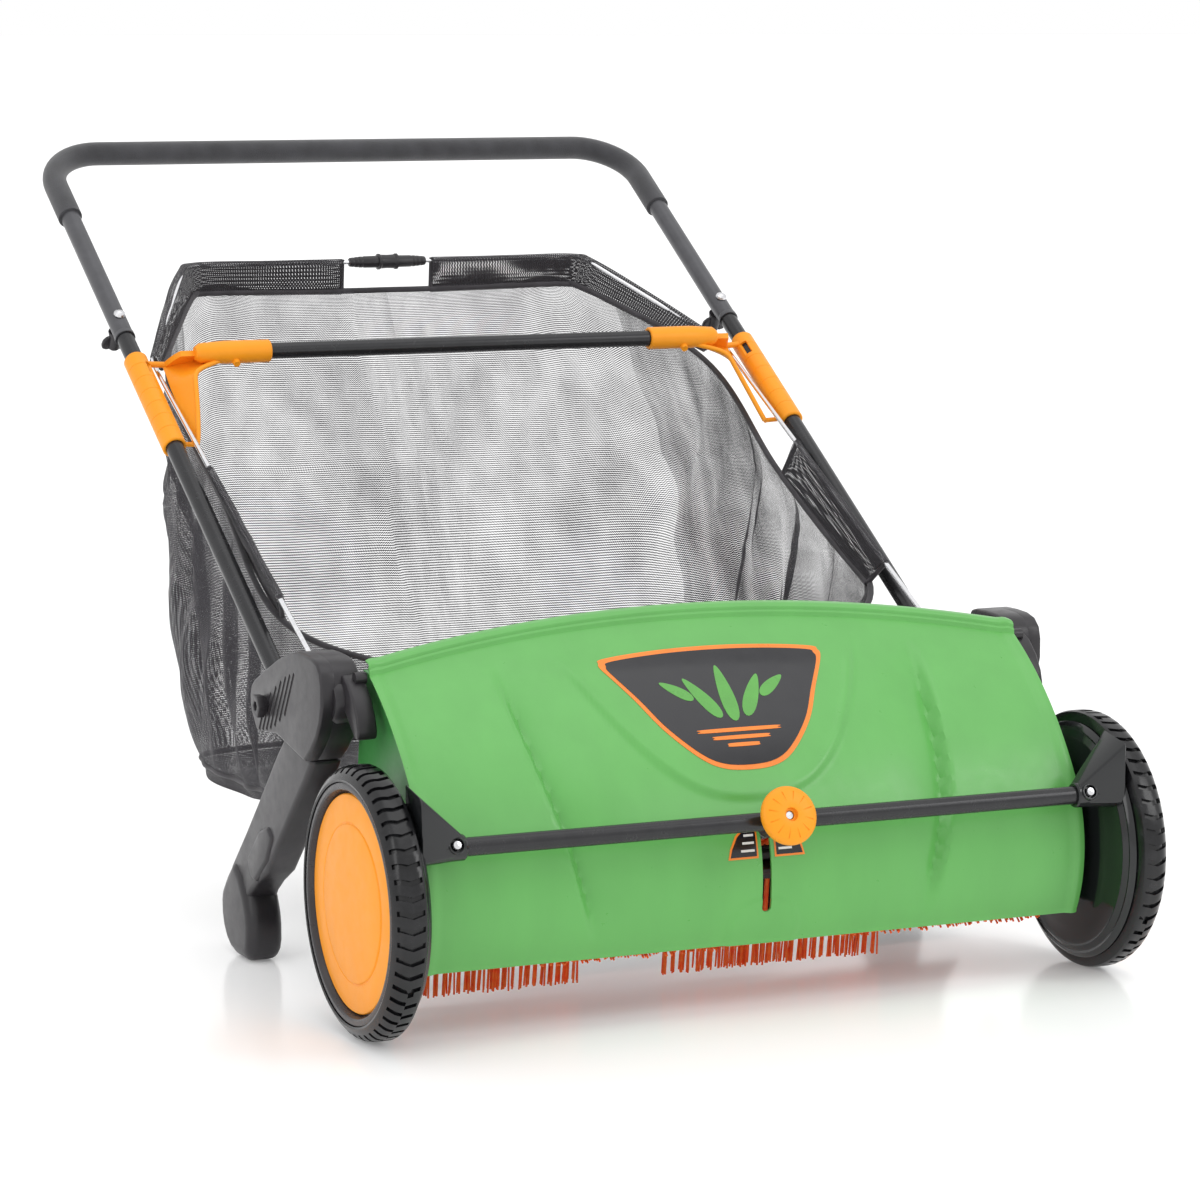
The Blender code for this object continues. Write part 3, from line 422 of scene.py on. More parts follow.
# ---------------------------------------------------------------- finishes
def principled(name, colour, roughness, metallic=0.0):
    material = bpy.data.materials.new(name)
    material.use_nodes = True
    shader = material.node_tree.nodes["Principled BSDF"]
    shader.inputs["Base Color"].default_value = (*colour, 1.0)
    shader.inputs["Roughness"].default_value = roughness
    shader.inputs["Metallic"].default_value = metallic
    return material, shader


def texture(material, kind, scale, stretch=(1.0, 1.0, 1.0), source="Object", **settings):
    """A texture node on object coordinates, or on the UV map, already in place."""
    nodes, links = material.node_tree.nodes, material.node_tree.links
    where = nodes.new("ShaderNodeTexCoord")
    mapping = nodes.new("ShaderNodeMapping")
    mapping.inputs["Scale"].default_value = stretch
    made = nodes.new(kind)
    made.inputs["Scale"].default_value = scale
    for setting, value in settings.items():
        made.inputs[setting].default_value = value
    links.new(where.outputs[source], mapping.inputs["Vector"])
    links.new(mapping.outputs["Vector"], made.inputs["Vector"])
    return made


def blend_colours(material, factor, low, high, first, second):
    """The base colour runs from first to second as the factor runs from low to high."""
    nodes, links = material.node_tree.nodes, material.node_tree.links
    ramp = nodes.new("ShaderNodeValToRGB")
    ramp.color_ramp.elements[0].position = low
    ramp.color_ramp.elements[0].color = (*first, 1.0)
    ramp.color_ramp.elements[1].position = high
    ramp.color_ramp.elements[1].color = (*second, 1.0)
    links.new(factor, ramp.inputs["Fac"])
    links.new(ramp.outputs["Color"], nodes["Principled BSDF"].inputs["Base Color"])
    return ramp


def blend_roughness(material, factor, first, second):
    nodes, links = material.node_tree.nodes, material.node_tree.links
    scale = nodes.new("ShaderNodeMapRange")
    scale.inputs["From Min"].default_value = 0.3
    scale.inputs["From Max"].default_value = 0.7
    scale.inputs["To Min"].default_value = first
    scale.inputs["To Max"].default_value = second
    links.new(factor, scale.inputs["Value"])
    links.new(scale.outputs["Result"], nodes["Principled BSDF"].inputs["Roughness"])


def bumps(material, *layers):
    """Stack bump layers of (height output, distance in metres, strength)."""
    nodes, links = material.node_tree.nodes, material.node_tree.links
    below = None
    for height, distance, strength in layers:
        bump = nodes.new("ShaderNodeBump")
        bump.inputs["Distance"].default_value = distance
        bump.inputs["Strength"].default_value = strength
        links.new(height, bump.inputs["Height"])
        if below:
            links.new(below, bump.inputs["Normal"])
        below = bump.outputs["Normal"]
    links.new(below, nodes["Principled BSDF"].inputs["Normal"])


def shade(colour, factor):
    return tuple(min(c * factor, 1.0) for c in colour)


def moulded(name, colour, roughness, spread=0.10, grain=1400.0, depth=0.00006, gloss=0.5):
    """Injection-moulded plastic: faint flow streaks, fine grain and small specks."""
    material, shader = principled(name, colour, roughness)
    shader.inputs["Specular IOR Level"].default_value = gloss
    streaks = texture(material, "ShaderNodeTexNoise", 26.0, (1.0, 1.0, 0.25), Detail=4.0, Roughness=0.55)
    blend_colours(material, streaks.outputs["Fac"], 0.3, 0.7,
                  shade(colour, 1 - spread), shade(colour, 1 + spread))
    scuffs = texture(material, "ShaderNodeTexNoise", 70.0, Detail=6.0, Roughness=0.65)
    blend_roughness(material, scuffs.outputs["Fac"], roughness * 0.85, roughness * 1.2)
    fine = texture(material, "ShaderNodeTexNoise", grain, Detail=2.0)
    bumps(material, (fine.outputs["Fac"], depth, 0.6), (streaks.outputs["Fac"], 0.0004, 0.12))
    return material


def painted_tube(name, colour, roughness, metallic):
    """Powder coat with orange peel."""
    material, _ = principled(name, colour, roughness, metallic)
    peel = texture(material, "ShaderNodeTexNoise", 420.0, Detail=2.0)
    wear = texture(material, "ShaderNodeTexNoise", 35.0, Detail=8.0, Roughness=0.7)
    blend_colours(material, wear.outputs["Fac"], 0.35, 0.72, shade(colour, 0.9), shade(colour, 1.2))
    blend_roughness(material, wear.outputs["Fac"], roughness * 0.85, roughness * 1.25)
    bumps(material, (peel.outputs["Fac"], 0.00012, 0.5))
    return material


def bright_metal(name, colour, roughness):
    """Bare or plated steel with fine lines across it."""
    material, _ = principled(name, colour, roughness, 1.0)
    brushed = texture(material, "ShaderNodeTexNoise", 300.0, (0.15, 1.0, 1.0), Detail=4.0)
    blend_roughness(material, brushed.outputs["Fac"], roughness * 0.7, roughness * 1.5)
    blend_colours(material, brushed.outputs["Fac"], 0.3, 0.7, shade(colour, 0.9), colour)
    bumps(material, (brushed.outputs["Fac"], 0.00005, 0.3))
    return material


def tyre_rubber(name):
    """Hard glossy tyre plastic with faint moulding rings and dust."""
    colour = (0.006, 0.006, 0.007)
    material, shader = principled(name, colour, 0.20)
    shader.inputs["Specular IOR Level"].default_value = 0.4
    dust = texture(material, "ShaderNodeTexNoise", 55.0, Detail=8.0, Roughness=0.7)
    fine = texture(material, "ShaderNodeTexNoise", 900.0, Detail=2.0)
    blend_colours(material, dust.outputs["Fac"], 0.45, 0.8, colour, (0.018, 0.018, 0.020))
    blend_roughness(material, dust.outputs["Fac"], 0.15, 0.30)
    bumps(material, (fine.outputs["Fac"], 0.00008, 0.5))
    return material


def foam(name):
    """Closed-cell foam grip: fine cells and a soft sheen."""
    colour = (0.030, 0.030, 0.034)
    material, shader = principled(name, colour, 0.78)
    shader.inputs["Sheen Weight"].default_value = 0.35
    shader.inputs["Sheen Roughness"].default_value = 0.5
    cells = texture(material, "ShaderNodeTexVoronoi", 850.0)
    tone = texture(material, "ShaderNodeTexNoise", 40.0, Detail=5.0)
    blend_colours(material, tone.outputs["Fac"], 0.3, 0.7, shade(colour, 0.8), shade(colour, 1.5))
    bumps(material, (cells.outputs["Distance"], 0.0006, 0.6))
    return material


def math_node(material, operation, first, second=None):
    nodes, links = material.node_tree.nodes, material.node_tree.links
    made = nodes.new("ShaderNodeMath")
    made.operation = operation
    for socket, value in zip(made.inputs, (first, second)):
        if value is None:
            continue
        if isinstance(value, (int, float)):
            socket.default_value = value
        else:
            links.new(value, socket)
    return made.outputs["Value"]


def knit_mesh(name, row_pitch, cover, colour, zigzag, drape=(1.0, 1.0, 1.0), smoke=0.24, follow="UV"):
    """See-through knitted mesh: rows of zigzag yarn on coordinates in metres.

    cover is the share of the cloth that yarn fills, smoke how much that share drifts from place to
    place, and drape the stretch of that drift.
    """
    material, shader = principled(name, colour, 0.62)
    nodes, links = material.node_tree.nodes, material.node_tree.links
    stitch_share, edge_blur, fine_drift = 1.25, 0.05, 0.12
    where = nodes.new("ShaderNodeTexCoord")
    split = nodes.new("ShaderNodeSeparateXYZ")
    links.new(where.outputs[follow], split.inputs["Vector"])
    across = math_node(material, "DIVIDE", split.outputs["X"], row_pitch * stitch_share)
    kink = math_node(material, "PINGPONG", across, 0.5)
    down = math_node(material, "DIVIDE", split.outputs["Y"], row_pitch)
    shifted = math_node(material, "ADD", down, math_node(material, "MULTIPLY", kink, zigzag))
    rows = math_node(material, "PINGPONG", shifted, 0.5)
    drift = texture(material, "ShaderNodeTexNoise", 28.0, source=follow, Detail=4.0)
    cloud = texture(material, "ShaderNodeTexNoise", 7.0, drape, follow, Detail=5.0)
    uneven = math_node(material, "ADD", math_node(material, "MULTIPLY", drift.outputs["Fac"], fine_drift),
                       math_node(material, "MULTIPLY", cloud.outputs["Fac"], smoke))
    width = math_node(material, "ADD", uneven, (cover - smoke - fine_drift) * 0.5)
    open_share = nodes.new("ShaderNodeMapRange")
    open_share.inputs["From Min"].default_value = -edge_blur
    open_share.inputs["From Max"].default_value = edge_blur
    open_share.inputs["To Min"].default_value = 1.0
    open_share.inputs["To Max"].default_value = 0.0
    links.new(math_node(material, "SUBTRACT", rows, width), open_share.inputs["Value"])
    yarn = texture(material, "ShaderNodeTexNoise", 500.0, source=follow, Detail=3.0)
    blend_colours(material, yarn.outputs["Fac"], 0.3, 0.7, shade(colour, 0.7), shade(colour, 1.6))
    links.new(open_share.outputs["Result"], shader.inputs["Alpha"])
    bumps(material, (rows, 0.0005, 0.5))
    return material


def woven_tape(name):
    """Black binding tape with a fine rib across it."""
    colour = (0.034, 0.031, 0.036)
    material, shader = principled(name, colour, 0.75)
    shader.inputs["Sheen Weight"].default_value = 0.2
    weave = texture(material, "ShaderNodeTexVoronoi", 900.0)
    tone = texture(material, "ShaderNodeTexNoise", 60.0, Detail=5.0)
    blend_colours(material, tone.outputs["Fac"], 0.3, 0.75, shade(colour, 0.7), shade(colour, 1.4))
    bumps(material, (weave.outputs["Distance"], 0.0005, 0.5))
    return material


def bristle_nylon(name):
    """Orange-red filaments, some paler than others."""
    deep, pale = (1.0, 0.10, 0.020), (1.0, 0.24, 0.045)
    material, shader = principled(name, deep, 0.38)
    shader.inputs["Specular IOR Level"].default_value = 0.25
    tone = texture(material, "ShaderNodeTexNoise", 160.0, Detail=3.0)
    blend_colours(material, tone.outputs["Fac"], 0.3, 0.7, deep, pale)
    bumps(material, (tone.outputs["Fac"], 0.0002, 0.3))
    return material


def printed(name, colour, roughness=0.28):
    """Printed film with a slightly uneven gloss."""
    material, _ = principled(name, colour, roughness)
    film = texture(material, "ShaderNodeTexNoise", 45.0, Detail=5.0)
    blend_colours(material, film.outputs["Fac"], 0.3, 0.7, shade(colour, 0.92), shade(colour, 1.08))
    blend_roughness(material, film.outputs["Fac"], roughness * 0.8, roughness * 1.3)
    bumps(material, (film.outputs["Fac"], 0.00015, 0.2))
    return material


GREEN = moulded("cover_green", (0.118, 0.405, 0.092), 0.32, spread=0.04, depth=0.00003, gloss=0.5)
# The end panels get a darker copy of the cover green: painted shade for the recess behind the wheels where
# they sit.
SHADED_PANEL_GREEN = moulded("panel_green_painted_shade", (0.045, 0.27, 0.055), 0.36, spread=0.08, depth=0.00004)
ORANGE = moulded("orange_plastic", (0.90, 0.325, 0.014), 0.38, spread=0.03, gloss=0.25)
BLACK = moulded("black_plastic", (0.025, 0.023, 0.026), 0.33, spread=0.20, grain=900.0, depth=0.00010,
                gloss=0.4)
GLOSS_BLACK = moulded("gloss_black", (0.010, 0.011, 0.012), 0.13, spread=0.15, depth=0.00002)
RIM_GREY = moulded("rim_grey", (0.035, 0.033, 0.036), 0.28, spread=0.1, gloss=0.4)
RUBBER = tyre_rubber("tyre_black")
FOAM = foam("grip_foam")
BLACK_TUBE = painted_tube("painted_tube", (0.024, 0.024, 0.026), 0.24, 0.35)
GREY_TUBE = painted_tube("grey_tube", (0.085, 0.085, 0.092), 0.34, 0.45)
STEEL = bright_metal("bright_steel", (0.72, 0.72, 0.74), 0.26)
CHROME = bright_metal("chrome_rod", (0.88, 0.88, 0.90), 0.10)
BRISTLE = bristle_nylon("red_bristle")
MESH = knit_mesh("bag_mesh", 0.0019, 0.56, (0.024, 0.021, 0.028), zigzag=0.9, smoke=0.20)
SIDE_MESH = knit_mesh("side_mesh", 0.0019, 0.76, (0.020, 0.018, 0.023), zigzag=0.9, drape=(5.0, 0.5, 1.0),
                      smoke=0.50)
BASE_CLOTH = knit_mesh("base_cloth", 0.0020, 0.90, (0.022, 0.020, 0.024), zigzag=1.0, follow="Object")
HEM_MESH = knit_mesh("hem_mesh", 0.0026, 0.76, (0.020, 0.018, 0.022), zigzag=1.0, smoke=0.10)
TAPE = woven_tape("bag_tape")
BADGE_BLACK = printed("badge_black", (0.012, 0.012, 0.015), 0.16)
BADGE_ORANGE = printed("badge_orange", (0.86, 0.22, 0.02))
BADGE_GREEN = printed("badge_leaf", (0.10, 0.36, 0.06))
BADGE_PALE = printed("badge_pale", (0.75, 0.74, 0.70))


def crease_x(along):
    """Distance from the middle of the long crease at each side of the cover."""
    return 0.167 + 0.29 * along - 0.38 * along * along


def badge_pad(x, along):
    """Signed distance inside the edge of the raised pad round the badge."""
    x = min(abs(x), 0.2)
    rise = 0.1345 * (x / 0.150) ** 2.38
    slope = 0.1345 * 2.38 / 0.150 * (max(x, 0.001) / 0.150) ** 1.38
    return (along - 0.1445 - rise) / math.sqrt(1.0 + slope * slope)


def relief(x, along):
    """Height of the cover's moulded shapes over its plain surface, in metres."""
    side = abs(x)
    from_crease = side - crease_x(along)
    fade = ease(along, 0.010, 0.070) * (1.0 - ease(along, 0.225, 0.300))
    dip = math.exp(min(from_crease, 0.0) / 0.023) * (1.0 - ease(from_crease, -0.0030, 0.0085))
    height = -0.0125 * dip * fade
    inside = badge_pad(x, along)
    pad_fade = 1.0 - ease(along, 0.262, 0.300)
    height += 0.0034 * ease(inside, -0.006, 0.004) * pad_fade
    height += 0.0013 * math.exp(-(inside / 0.0035) ** 2) * pad_fade * ease(side, 0.02, 0.07)
    arch = 1.0 - (x / 0.038) ** 2 - (max(along - 0.004, 0.0) / 0.044) ** 4
    height += 0.0013 * ease(arch, -0.05, 0.22)
    height += 0.0016 * ease(side, COVER_HALF - 0.0125, COVER_HALF - 0.0075)
    height -= 0.0008 * ease(side, COVER_HALF - 0.0035, COVER_HALF)
    height += 0.0010 * (1.0 - ease(along, 0.000, 0.004))
    return height


# steps of the double bead over the cover's top edge: (behind, above) the end of its top
LIP = smooth_curve([(0.0, 0.0, 0.0), (0.0002, 0.0022, 0.0), (0.0001, 0.0048, 0.0),
                    (0.0018, 0.0060, 0.0), (0.0016, 0.0085, 0.0), (0.0024, 0.0108, 0.0),
                    (0.0048, 0.0126, 0.0), (0.0080, 0.0134, 0.0), (0.0120, 0.0140, 0.0)], 3)
LIP_SHARE = 0.10


def cover_point(x, along, lift=0.0, moulded_in=True):
    """A point over the cover: along runs from its low front edge, and past its top on to the lip."""
    behind, above = 0.0, 0.0
    if along > COVER_LENGTH:
        place = min((along - COVER_LENGTH) / LIP_SHARE, 1.0) * (len(LIP) - 1)
        step = min(int(place), len(LIP) - 2)
        here = LIP[step].lerp(LIP[step + 1], place - step)
        behind, above = here.x, here.y
        along = COVER_LENGTH
    if along <= FRONT_LENGTH:
        angle = COVER_LOW + along / COVER_RADIUS
        y = BRUSH[0] - COVER_RADIUS * math.cos(angle)
        z = BRUSH[1] + COVER_RADIUS * math.sin(angle)
        out_y, out_z, share = -math.cos(angle), math.sin(angle), 0.0
    else:
        heading = TOP_START - (along - FRONT_LENGTH) / COVER_TOP_RADIUS
        y = (BRUSH[0] - COVER_RADIUS * math.cos(COVER_TURN)
             + COVER_TOP_RADIUS * (math.sin(TOP_START) - math.sin(heading)))
        z = (BRUSH[1] + COVER_RADIUS * math.sin(COVER_TURN)
             + COVER_TOP_RADIUS * (math.cos(heading) - math.cos(TOP_START)))
        out_y, out_z = -math.sin(heading), math.cos(heading)
        share = ((along - FRONT_LENGTH) / TOP_LENGTH) ** 2
    bow = COVER_BOW * share * (1.0 - (x / COVER_HALF) ** 2)
    if moulded_in:
        lift += relief(x, along) if behind == 0.0 and above == 0.0 else relief(x, COVER_LENGTH)
    return Vector((x, y + bow * 0.9 + behind + out_y * lift, z + bow + above + out_z * lift))


def front_cover():
    """The green cover: one moulded sheet with creases, a badge pad, a beaded top edge and a slot."""
    top_share = 0.88

    def point_at(u, v):
        x = COVER_HALF * (2.0 * u - 1.0)
        if v < top_share:
            return cover_point(x, COVER_LENGTH * v / top_share)
        return cover_point(x, COVER_LENGTH + LIP_SHARE * (v - top_share) / (1.0 - top_share))

    cover = thicken(surface("cover_shell", 200, 150, point_at), COVER_WALL * 0.8)
    slot_low, slot_high, slot_half = 0.0385, 0.124, 0.00475
    deselect()
    bpy.ops.mesh.primitive_cylinder_add(vertices=32, radius=1.0, depth=2.0, location=(0.0, 0.0, 0.0))
    cutter = add("slot_cutter")
    for vertex in cutter.data.vertices:
        end = slot_high if vertex.co.y > 0 else slot_low
        lift = 0.03 if vertex.co.z > 0 else -0.03
        vertex.co = cover_point(slot_half * vertex.co.x, end + slot_half * vertex.co.y, lift, False)
    edit(cutter)
    bpy.ops.mesh.quads_convert_to_tris()
    bpy.ops.mesh.normals_make_consistent(inside=False)
    done()
    cut(cover, cutter)
    fit(cover, "housing", GREEN, ["front_cover"], smooth=40.0)


def patch(name, outline, lift, rings=10):
    """Printed film on the cover: a closed (x, along) outline filled with rings about its centre."""
    count = len(outline)
    centre = sum((Vector(p) for p in outline), Vector((0.0, 0.0))) / count

    def point_at(u, v):
        place = v * count
        step = int(place) % count
        edge = Vector(outline[step]).lerp(Vector(outline[(step + 1) % count]), place - int(place))
        here = centre.lerp(edge, u)
        return cover_point(here.x, here.y, lift)

    film = surface(name, rings, count, point_at, weld=True)
    edit(film)
    bpy.ops.mesh.normals_make_consistent(inside=False)
    done()
    if film.data.polygons[0].normal.y > 0:
        film.data.flip_normals()
    return thicken(film, 0.00025, 1.0)


def rounded(points, steps=6, closed=True):
    """A smooth closed (x, along) outline through a few points."""
    return [(p.x, p.y) for p in smooth_curve([(x, y, 0.0) for x, y in points], steps, closed)]


def badge():
    """A shield-shaped badge with an orange border and a plain leaf motif."""
    half = [(0.0, 0.1700), (0.028, 0.1730), (0.050, 0.1850), (0.077, 0.2130), (0.096, 0.2430),
            (0.1155, 0.2720), (0.1165, 0.2800), (0.110, 0.2842), (0.060, 0.2872), (0.0, 0.2882)]
    shield = half + [(-x, y) for x, y in half[-2:0:-1]]
    inner = [(x * 0.945, 0.2325 + (y - 0.2325) * 0.925) for x, y in shield]
    border = patch("badge_border", rounded(shield), 0.0002)
    fit(border, "housing", BADGE_ORANGE)
    fit(patch("badge_field", rounded(inner), 0.0005), "housing", BADGE_BLACK)
    for number, (x, along, length, width, tilt) in enumerate((
            (0.000, 0.2420, 0.052, 0.0150, 0.0), (-0.026, 0.2390, 0.046, 0.0130, 0.62),
            (0.026, 0.2390, 0.046, 0.0130, -0.62), (-0.050, 0.2470, 0.034, 0.0095, 1.05),
            (0.050, 0.2470, 0.034, 0.0095, -1.05))):
        leaf = []
        for i in range(24):
            t = 2.0 * math.pi * i / 24
            reach = length / 2 * math.cos(t)
            swell = width / 2 * math.sin(t) * (1.0 - 0.35 * math.cos(t))
            leaf.append((x + swell * math.cos(tilt) - reach * math.sin(tilt),
                         along + swell * math.sin(tilt) + reach * math.cos(tilt)))
        fit(patch(f"badge_leaf_{number + 1}", leaf, 0.0008, 5), "housing", BADGE_GREEN)
    for number, (x_half, along) in enumerate(((0.040, 0.2080), (0.028, 0.2010), (0.016, 0.1940))):
        bar = rounded([(x_half, along), (x_half - 0.002, along + 0.0016),
                       (-x_half + 0.002, along + 0.0016), (-x_half, along),
                       (-x_half + 0.002, along - 0.0016), (x_half - 0.002, along - 0.0016)], 4)
        fit(patch(f"badge_bar_{number + 1}", bar, 0.0008, 3), "housing", BADGE_ORANGE)


def even(points, sign):
    """An outline on one side of the cover, with three more points between each two corners."""
    made = []
    for a, b in zip(points, points[1:] + points[:1]):
        made += [(a[0] + (b[0] - a[0]) * k / 4, a[1] + (b[1] - a[1]) * k / 4) for k in range(4)]
    return [(sign * x, y) for x, y in made]


def height_scale():
    """The small dark plates on both sides of the slot, with four plain ticks each."""
    dial = [(0.0085, 0.0860), (0.0085, 0.1215), (0.0200, 0.1180), (0.0310, 0.1080), (0.0375, 0.0960),
            (0.0400, 0.0860)]
    inset = [(0.0103, 0.0880), (0.0103, 0.1190), (0.0190, 0.1158), (0.0293, 0.1066), (0.0355, 0.0952),
             (0.0376, 0.0880)]
    for side, sign in SIDES:
        border = patch(f"{side}_scale_border", even(dial, sign), 0.0002, 5)
        fit(border, "housing", BADGE_ORANGE)
        fit(patch(f"{side}_scale_field", even(inset, sign), 0.0005, 5), "housing", BADGE_BLACK)
        for number in range(4):
            low, high = 0.0925 + 0.0072 * number, 0.0947 + 0.0072 * number
            near, far = 0.0125, 0.0265 - 0.002 * number
            tick = even([(near, low), (near, high), (far, high), (far, low)], sign)
            fit(patch(f"{side}_scale_tick_{number + 1}", tick, 0.0008, 2), "housing",
                BADGE_PALE)


# ---------------------------------------------------------------- wheels
def tyre():
    """A hard tyre with cross grooves that bend at the crown."""
    lugs, per_lug, lean_most, kink_reach, groove_depth = 54, 3, 0.026, 0.0110, 0.0030
    seat = WHEEL_RADIUS - TYRE_DEPTH
    outer, inner, crown = WHEEL_OUTER_X, WHEEL_INNER_X, WHEEL_RADIUS
    outline = [(inner + 0.0005, seat + 0.0004), (inner, seat + 0.006), (inner + 0.0012, crown - 0.0045),
               (inner + 0.0030, crown - 0.0012), (inner + 0.0055, crown), (inner + 0.0110, crown),
               (inner + 0.0165, crown), (inner + 0.0200, crown - 0.0003),
               (inner + 0.0235, crown - 0.0013), (outer - 0.0062, crown - 0.0034),
               (outer - 0.0030, crown - 0.0070), (outer - 0.0008, crown - 0.0105),
               (outer, seat + 0.0025), (outer - 0.0006, seat + 0.0004)]
    piece = lathe("{}_tyre_tread", outline, (0.0, *AXLE), steps=lugs * per_lug)
    kink_x = inner + 0.0165
    for vertex in piece.data.vertices:
        if (Vector(vertex.co.yz) - Vector(AXLE)).length > crown - 0.004:
            lean = lean_most * (1.0 - abs(vertex.co.x - kink_x) / kink_reach)
            turn = Matrix.Rotation(lean, 4, "X")
            centre = Vector((0.0, *AXLE))
            vertex.co = turn @ (vertex.co - centre) + centre
    edit(piece, "FACE")

    def groove(centre, _):
        spoke = Vector(centre.yz) - Vector(AXLE)
        if not (inner + 0.0055 < centre.x < outer - 0.0035 and spoke.length > crown - 0.0062):
            return False
        lean = 0.0
        if spoke.length > crown - 0.004:
            lean = lean_most * (1.0 - abs(centre.x - kink_x) / kink_reach)
        angle = math.atan2(spoke.y, spoke.x) - lean
        return (angle / (2.0 * math.pi) * lugs) % 1.0 < 1.0 / per_lug

    pick(piece, groove)
    bpy.ops.mesh.inset(thickness=0.0002)
    bpy.ops.transform.shrink_fatten(value=-groove_depth)
    done()
    fit_pair(piece, "{}_tyre_tread", "{}_wheel", RUBBER, "{}_tyre", smooth=28.0)


def wheel_faces():
    """The rim, the thin grey ring round the hub and the orange hub disc."""
    outer, inner = WHEEL_OUTER_X, WHEEL_INNER_X
    seat = WHEEL_RADIUS - TYRE_DEPTH
    rim = [(inner + 0.0180, 0.0064), (inner + 0.0180, 0.1005), (inner + 0.0015, 0.1045),
           (inner + 0.0015, seat - 0.0004), (outer - 0.0016, seat - 0.0004), (outer - 0.0010, seat - 0.0016),
           (outer - 0.0010, seat - 0.0050), (outer - 0.0020, seat - 0.0066), (outer - 0.0085, 0.1024),
           (inner + 0.0205, 0.1020), (inner + 0.0205, 0.0064)]
    piece = lathe("{}_rim_ring", rim, (0.0, *AXLE), steps=128)
    fit_pair(piece, "{}_rim_ring", "{}_wheel", RIM_GREY, "{}_wheel_rim", smooth=30.0)
    face = outer - 0.0065
    cap = [(inner + 0.0215, 0.0), (inner + 0.0215, 0.1010), (face - 0.0006, 0.1013), (face + 0.0006, 0.1004),
           (face + 0.0010, 0.0990), (face + 0.0010, 0.0755), (face + 0.0004, 0.0745), (face + 0.0004, 0.0738),
           (face + 0.0016, 0.0728), (face + 0.0022, 0.0700), (face + 0.0032, 0.0400), (face + 0.0036, 0.0)]
    piece = lathe("{}_hub_disc", cap, (0.0, *AXLE), steps=128)
    fit_pair(piece, "{}_hub_disc", "{}_wheel", ORANGE, "{}_hub_cap", smooth=25.0)


def wheel_cover():
    """The glossy dish inside each wheel, with the arm that holds the height rod."""
    face = WHEEL_INNER_X
    dish = [(face - 0.017, 0.0066), (face - 0.017, 0.0140), (face - 0.0145, 0.0160),
            (face - 0.0150, 0.0400), (face - 0.0142, 0.0650), (face - 0.0118, 0.0880),
            (face - 0.0085, 0.1020), (face - 0.0090, 0.1045), (face - 0.0055, 0.1100),
            (face - 0.0060, 0.1125), (face - 0.0035, 0.1155), (face - 0.0012, 0.1170),
            (face - 0.0006, 0.1160), (face - 0.0016, 0.1115), (face - 0.0050, 0.1010),
            (face - 0.0090, 0.0870), (face - 0.0115, 0.0540), (face - 0.0115, 0.0180),
            (face - 0.0050, 0.0140), (face - 0.0050, 0.0066)]
    shell = lathe("dish", dish, (0.0, *AXLE), steps=128)
    rod_y, rod_z = ROD
    socket = lathe("socket", [(0.3165, ROD_RADIUS + 0.0004), (0.3165, 0.0112), (0.3180, 0.0122),
                              (0.3300, 0.0124), (face - 0.003, 0.0150),
                              (face - 0.003, ROD_RADIUS + 0.0004)], (0.0, *ROD), steps=48)
    deselect()
    bpy.ops.mesh.primitive_cube_add(size=1.0, location=(0.0, 0.0, 0.0))
    web = add("web")
    for vertex in web.data.vertices:
        at_rim, behind, above = vertex.co.x > 0, vertex.co.y > 0, vertex.co.z > 0
        if at_rim:
            y = AXLE_Y - (0.056 if behind else 0.098)
            z = rod_z + ((0.058 if behind else 0.050) if above else -0.0090)
            vertex.co = (face - 0.0030, y, z)
        else:
            vertex.co = (0.3185, rod_y + (0.0085 if behind else -0.0085),
                         rod_z + (0.0105 if above else -0.0070))
    round_edges(web, 0.0018, 3)
    seat = Vector((ROD_HALF - 0.004, *ROD))
    cut(web, pole("rod_clearance", (0.300, *ROD), (ROD_HALF + 0.001, *ROD), ROD_RADIUS + 0.0004, 32),
        pole("recess", seat + ROD_OUTWARD * 0.0080, seat + ROD_OUTWARD * 0.04, 0.0064, 32))
    cut(socket, pole("recess", seat + ROD_OUTWARD * 0.0092, seat + ROD_OUTWARD * 0.04, 0.0064, 32))
    collar = lathe("collar", [(0.0088, 0.0064), (0.0088, 0.0082), (0.0134, 0.0080), (0.0140, 0.0074),
                              (0.0140, 0.0066), (0.0134, 0.0064)], seat, ROD_OUTWARD, steps=32)
    piece = merge("{}_cover_dish", shell, socket, web, collar)
    fit_pair(piece, "{}_cover_dish", "height_frame", GLOSS_BLACK, "{}_wheel_cover",
             smooth=32.0)


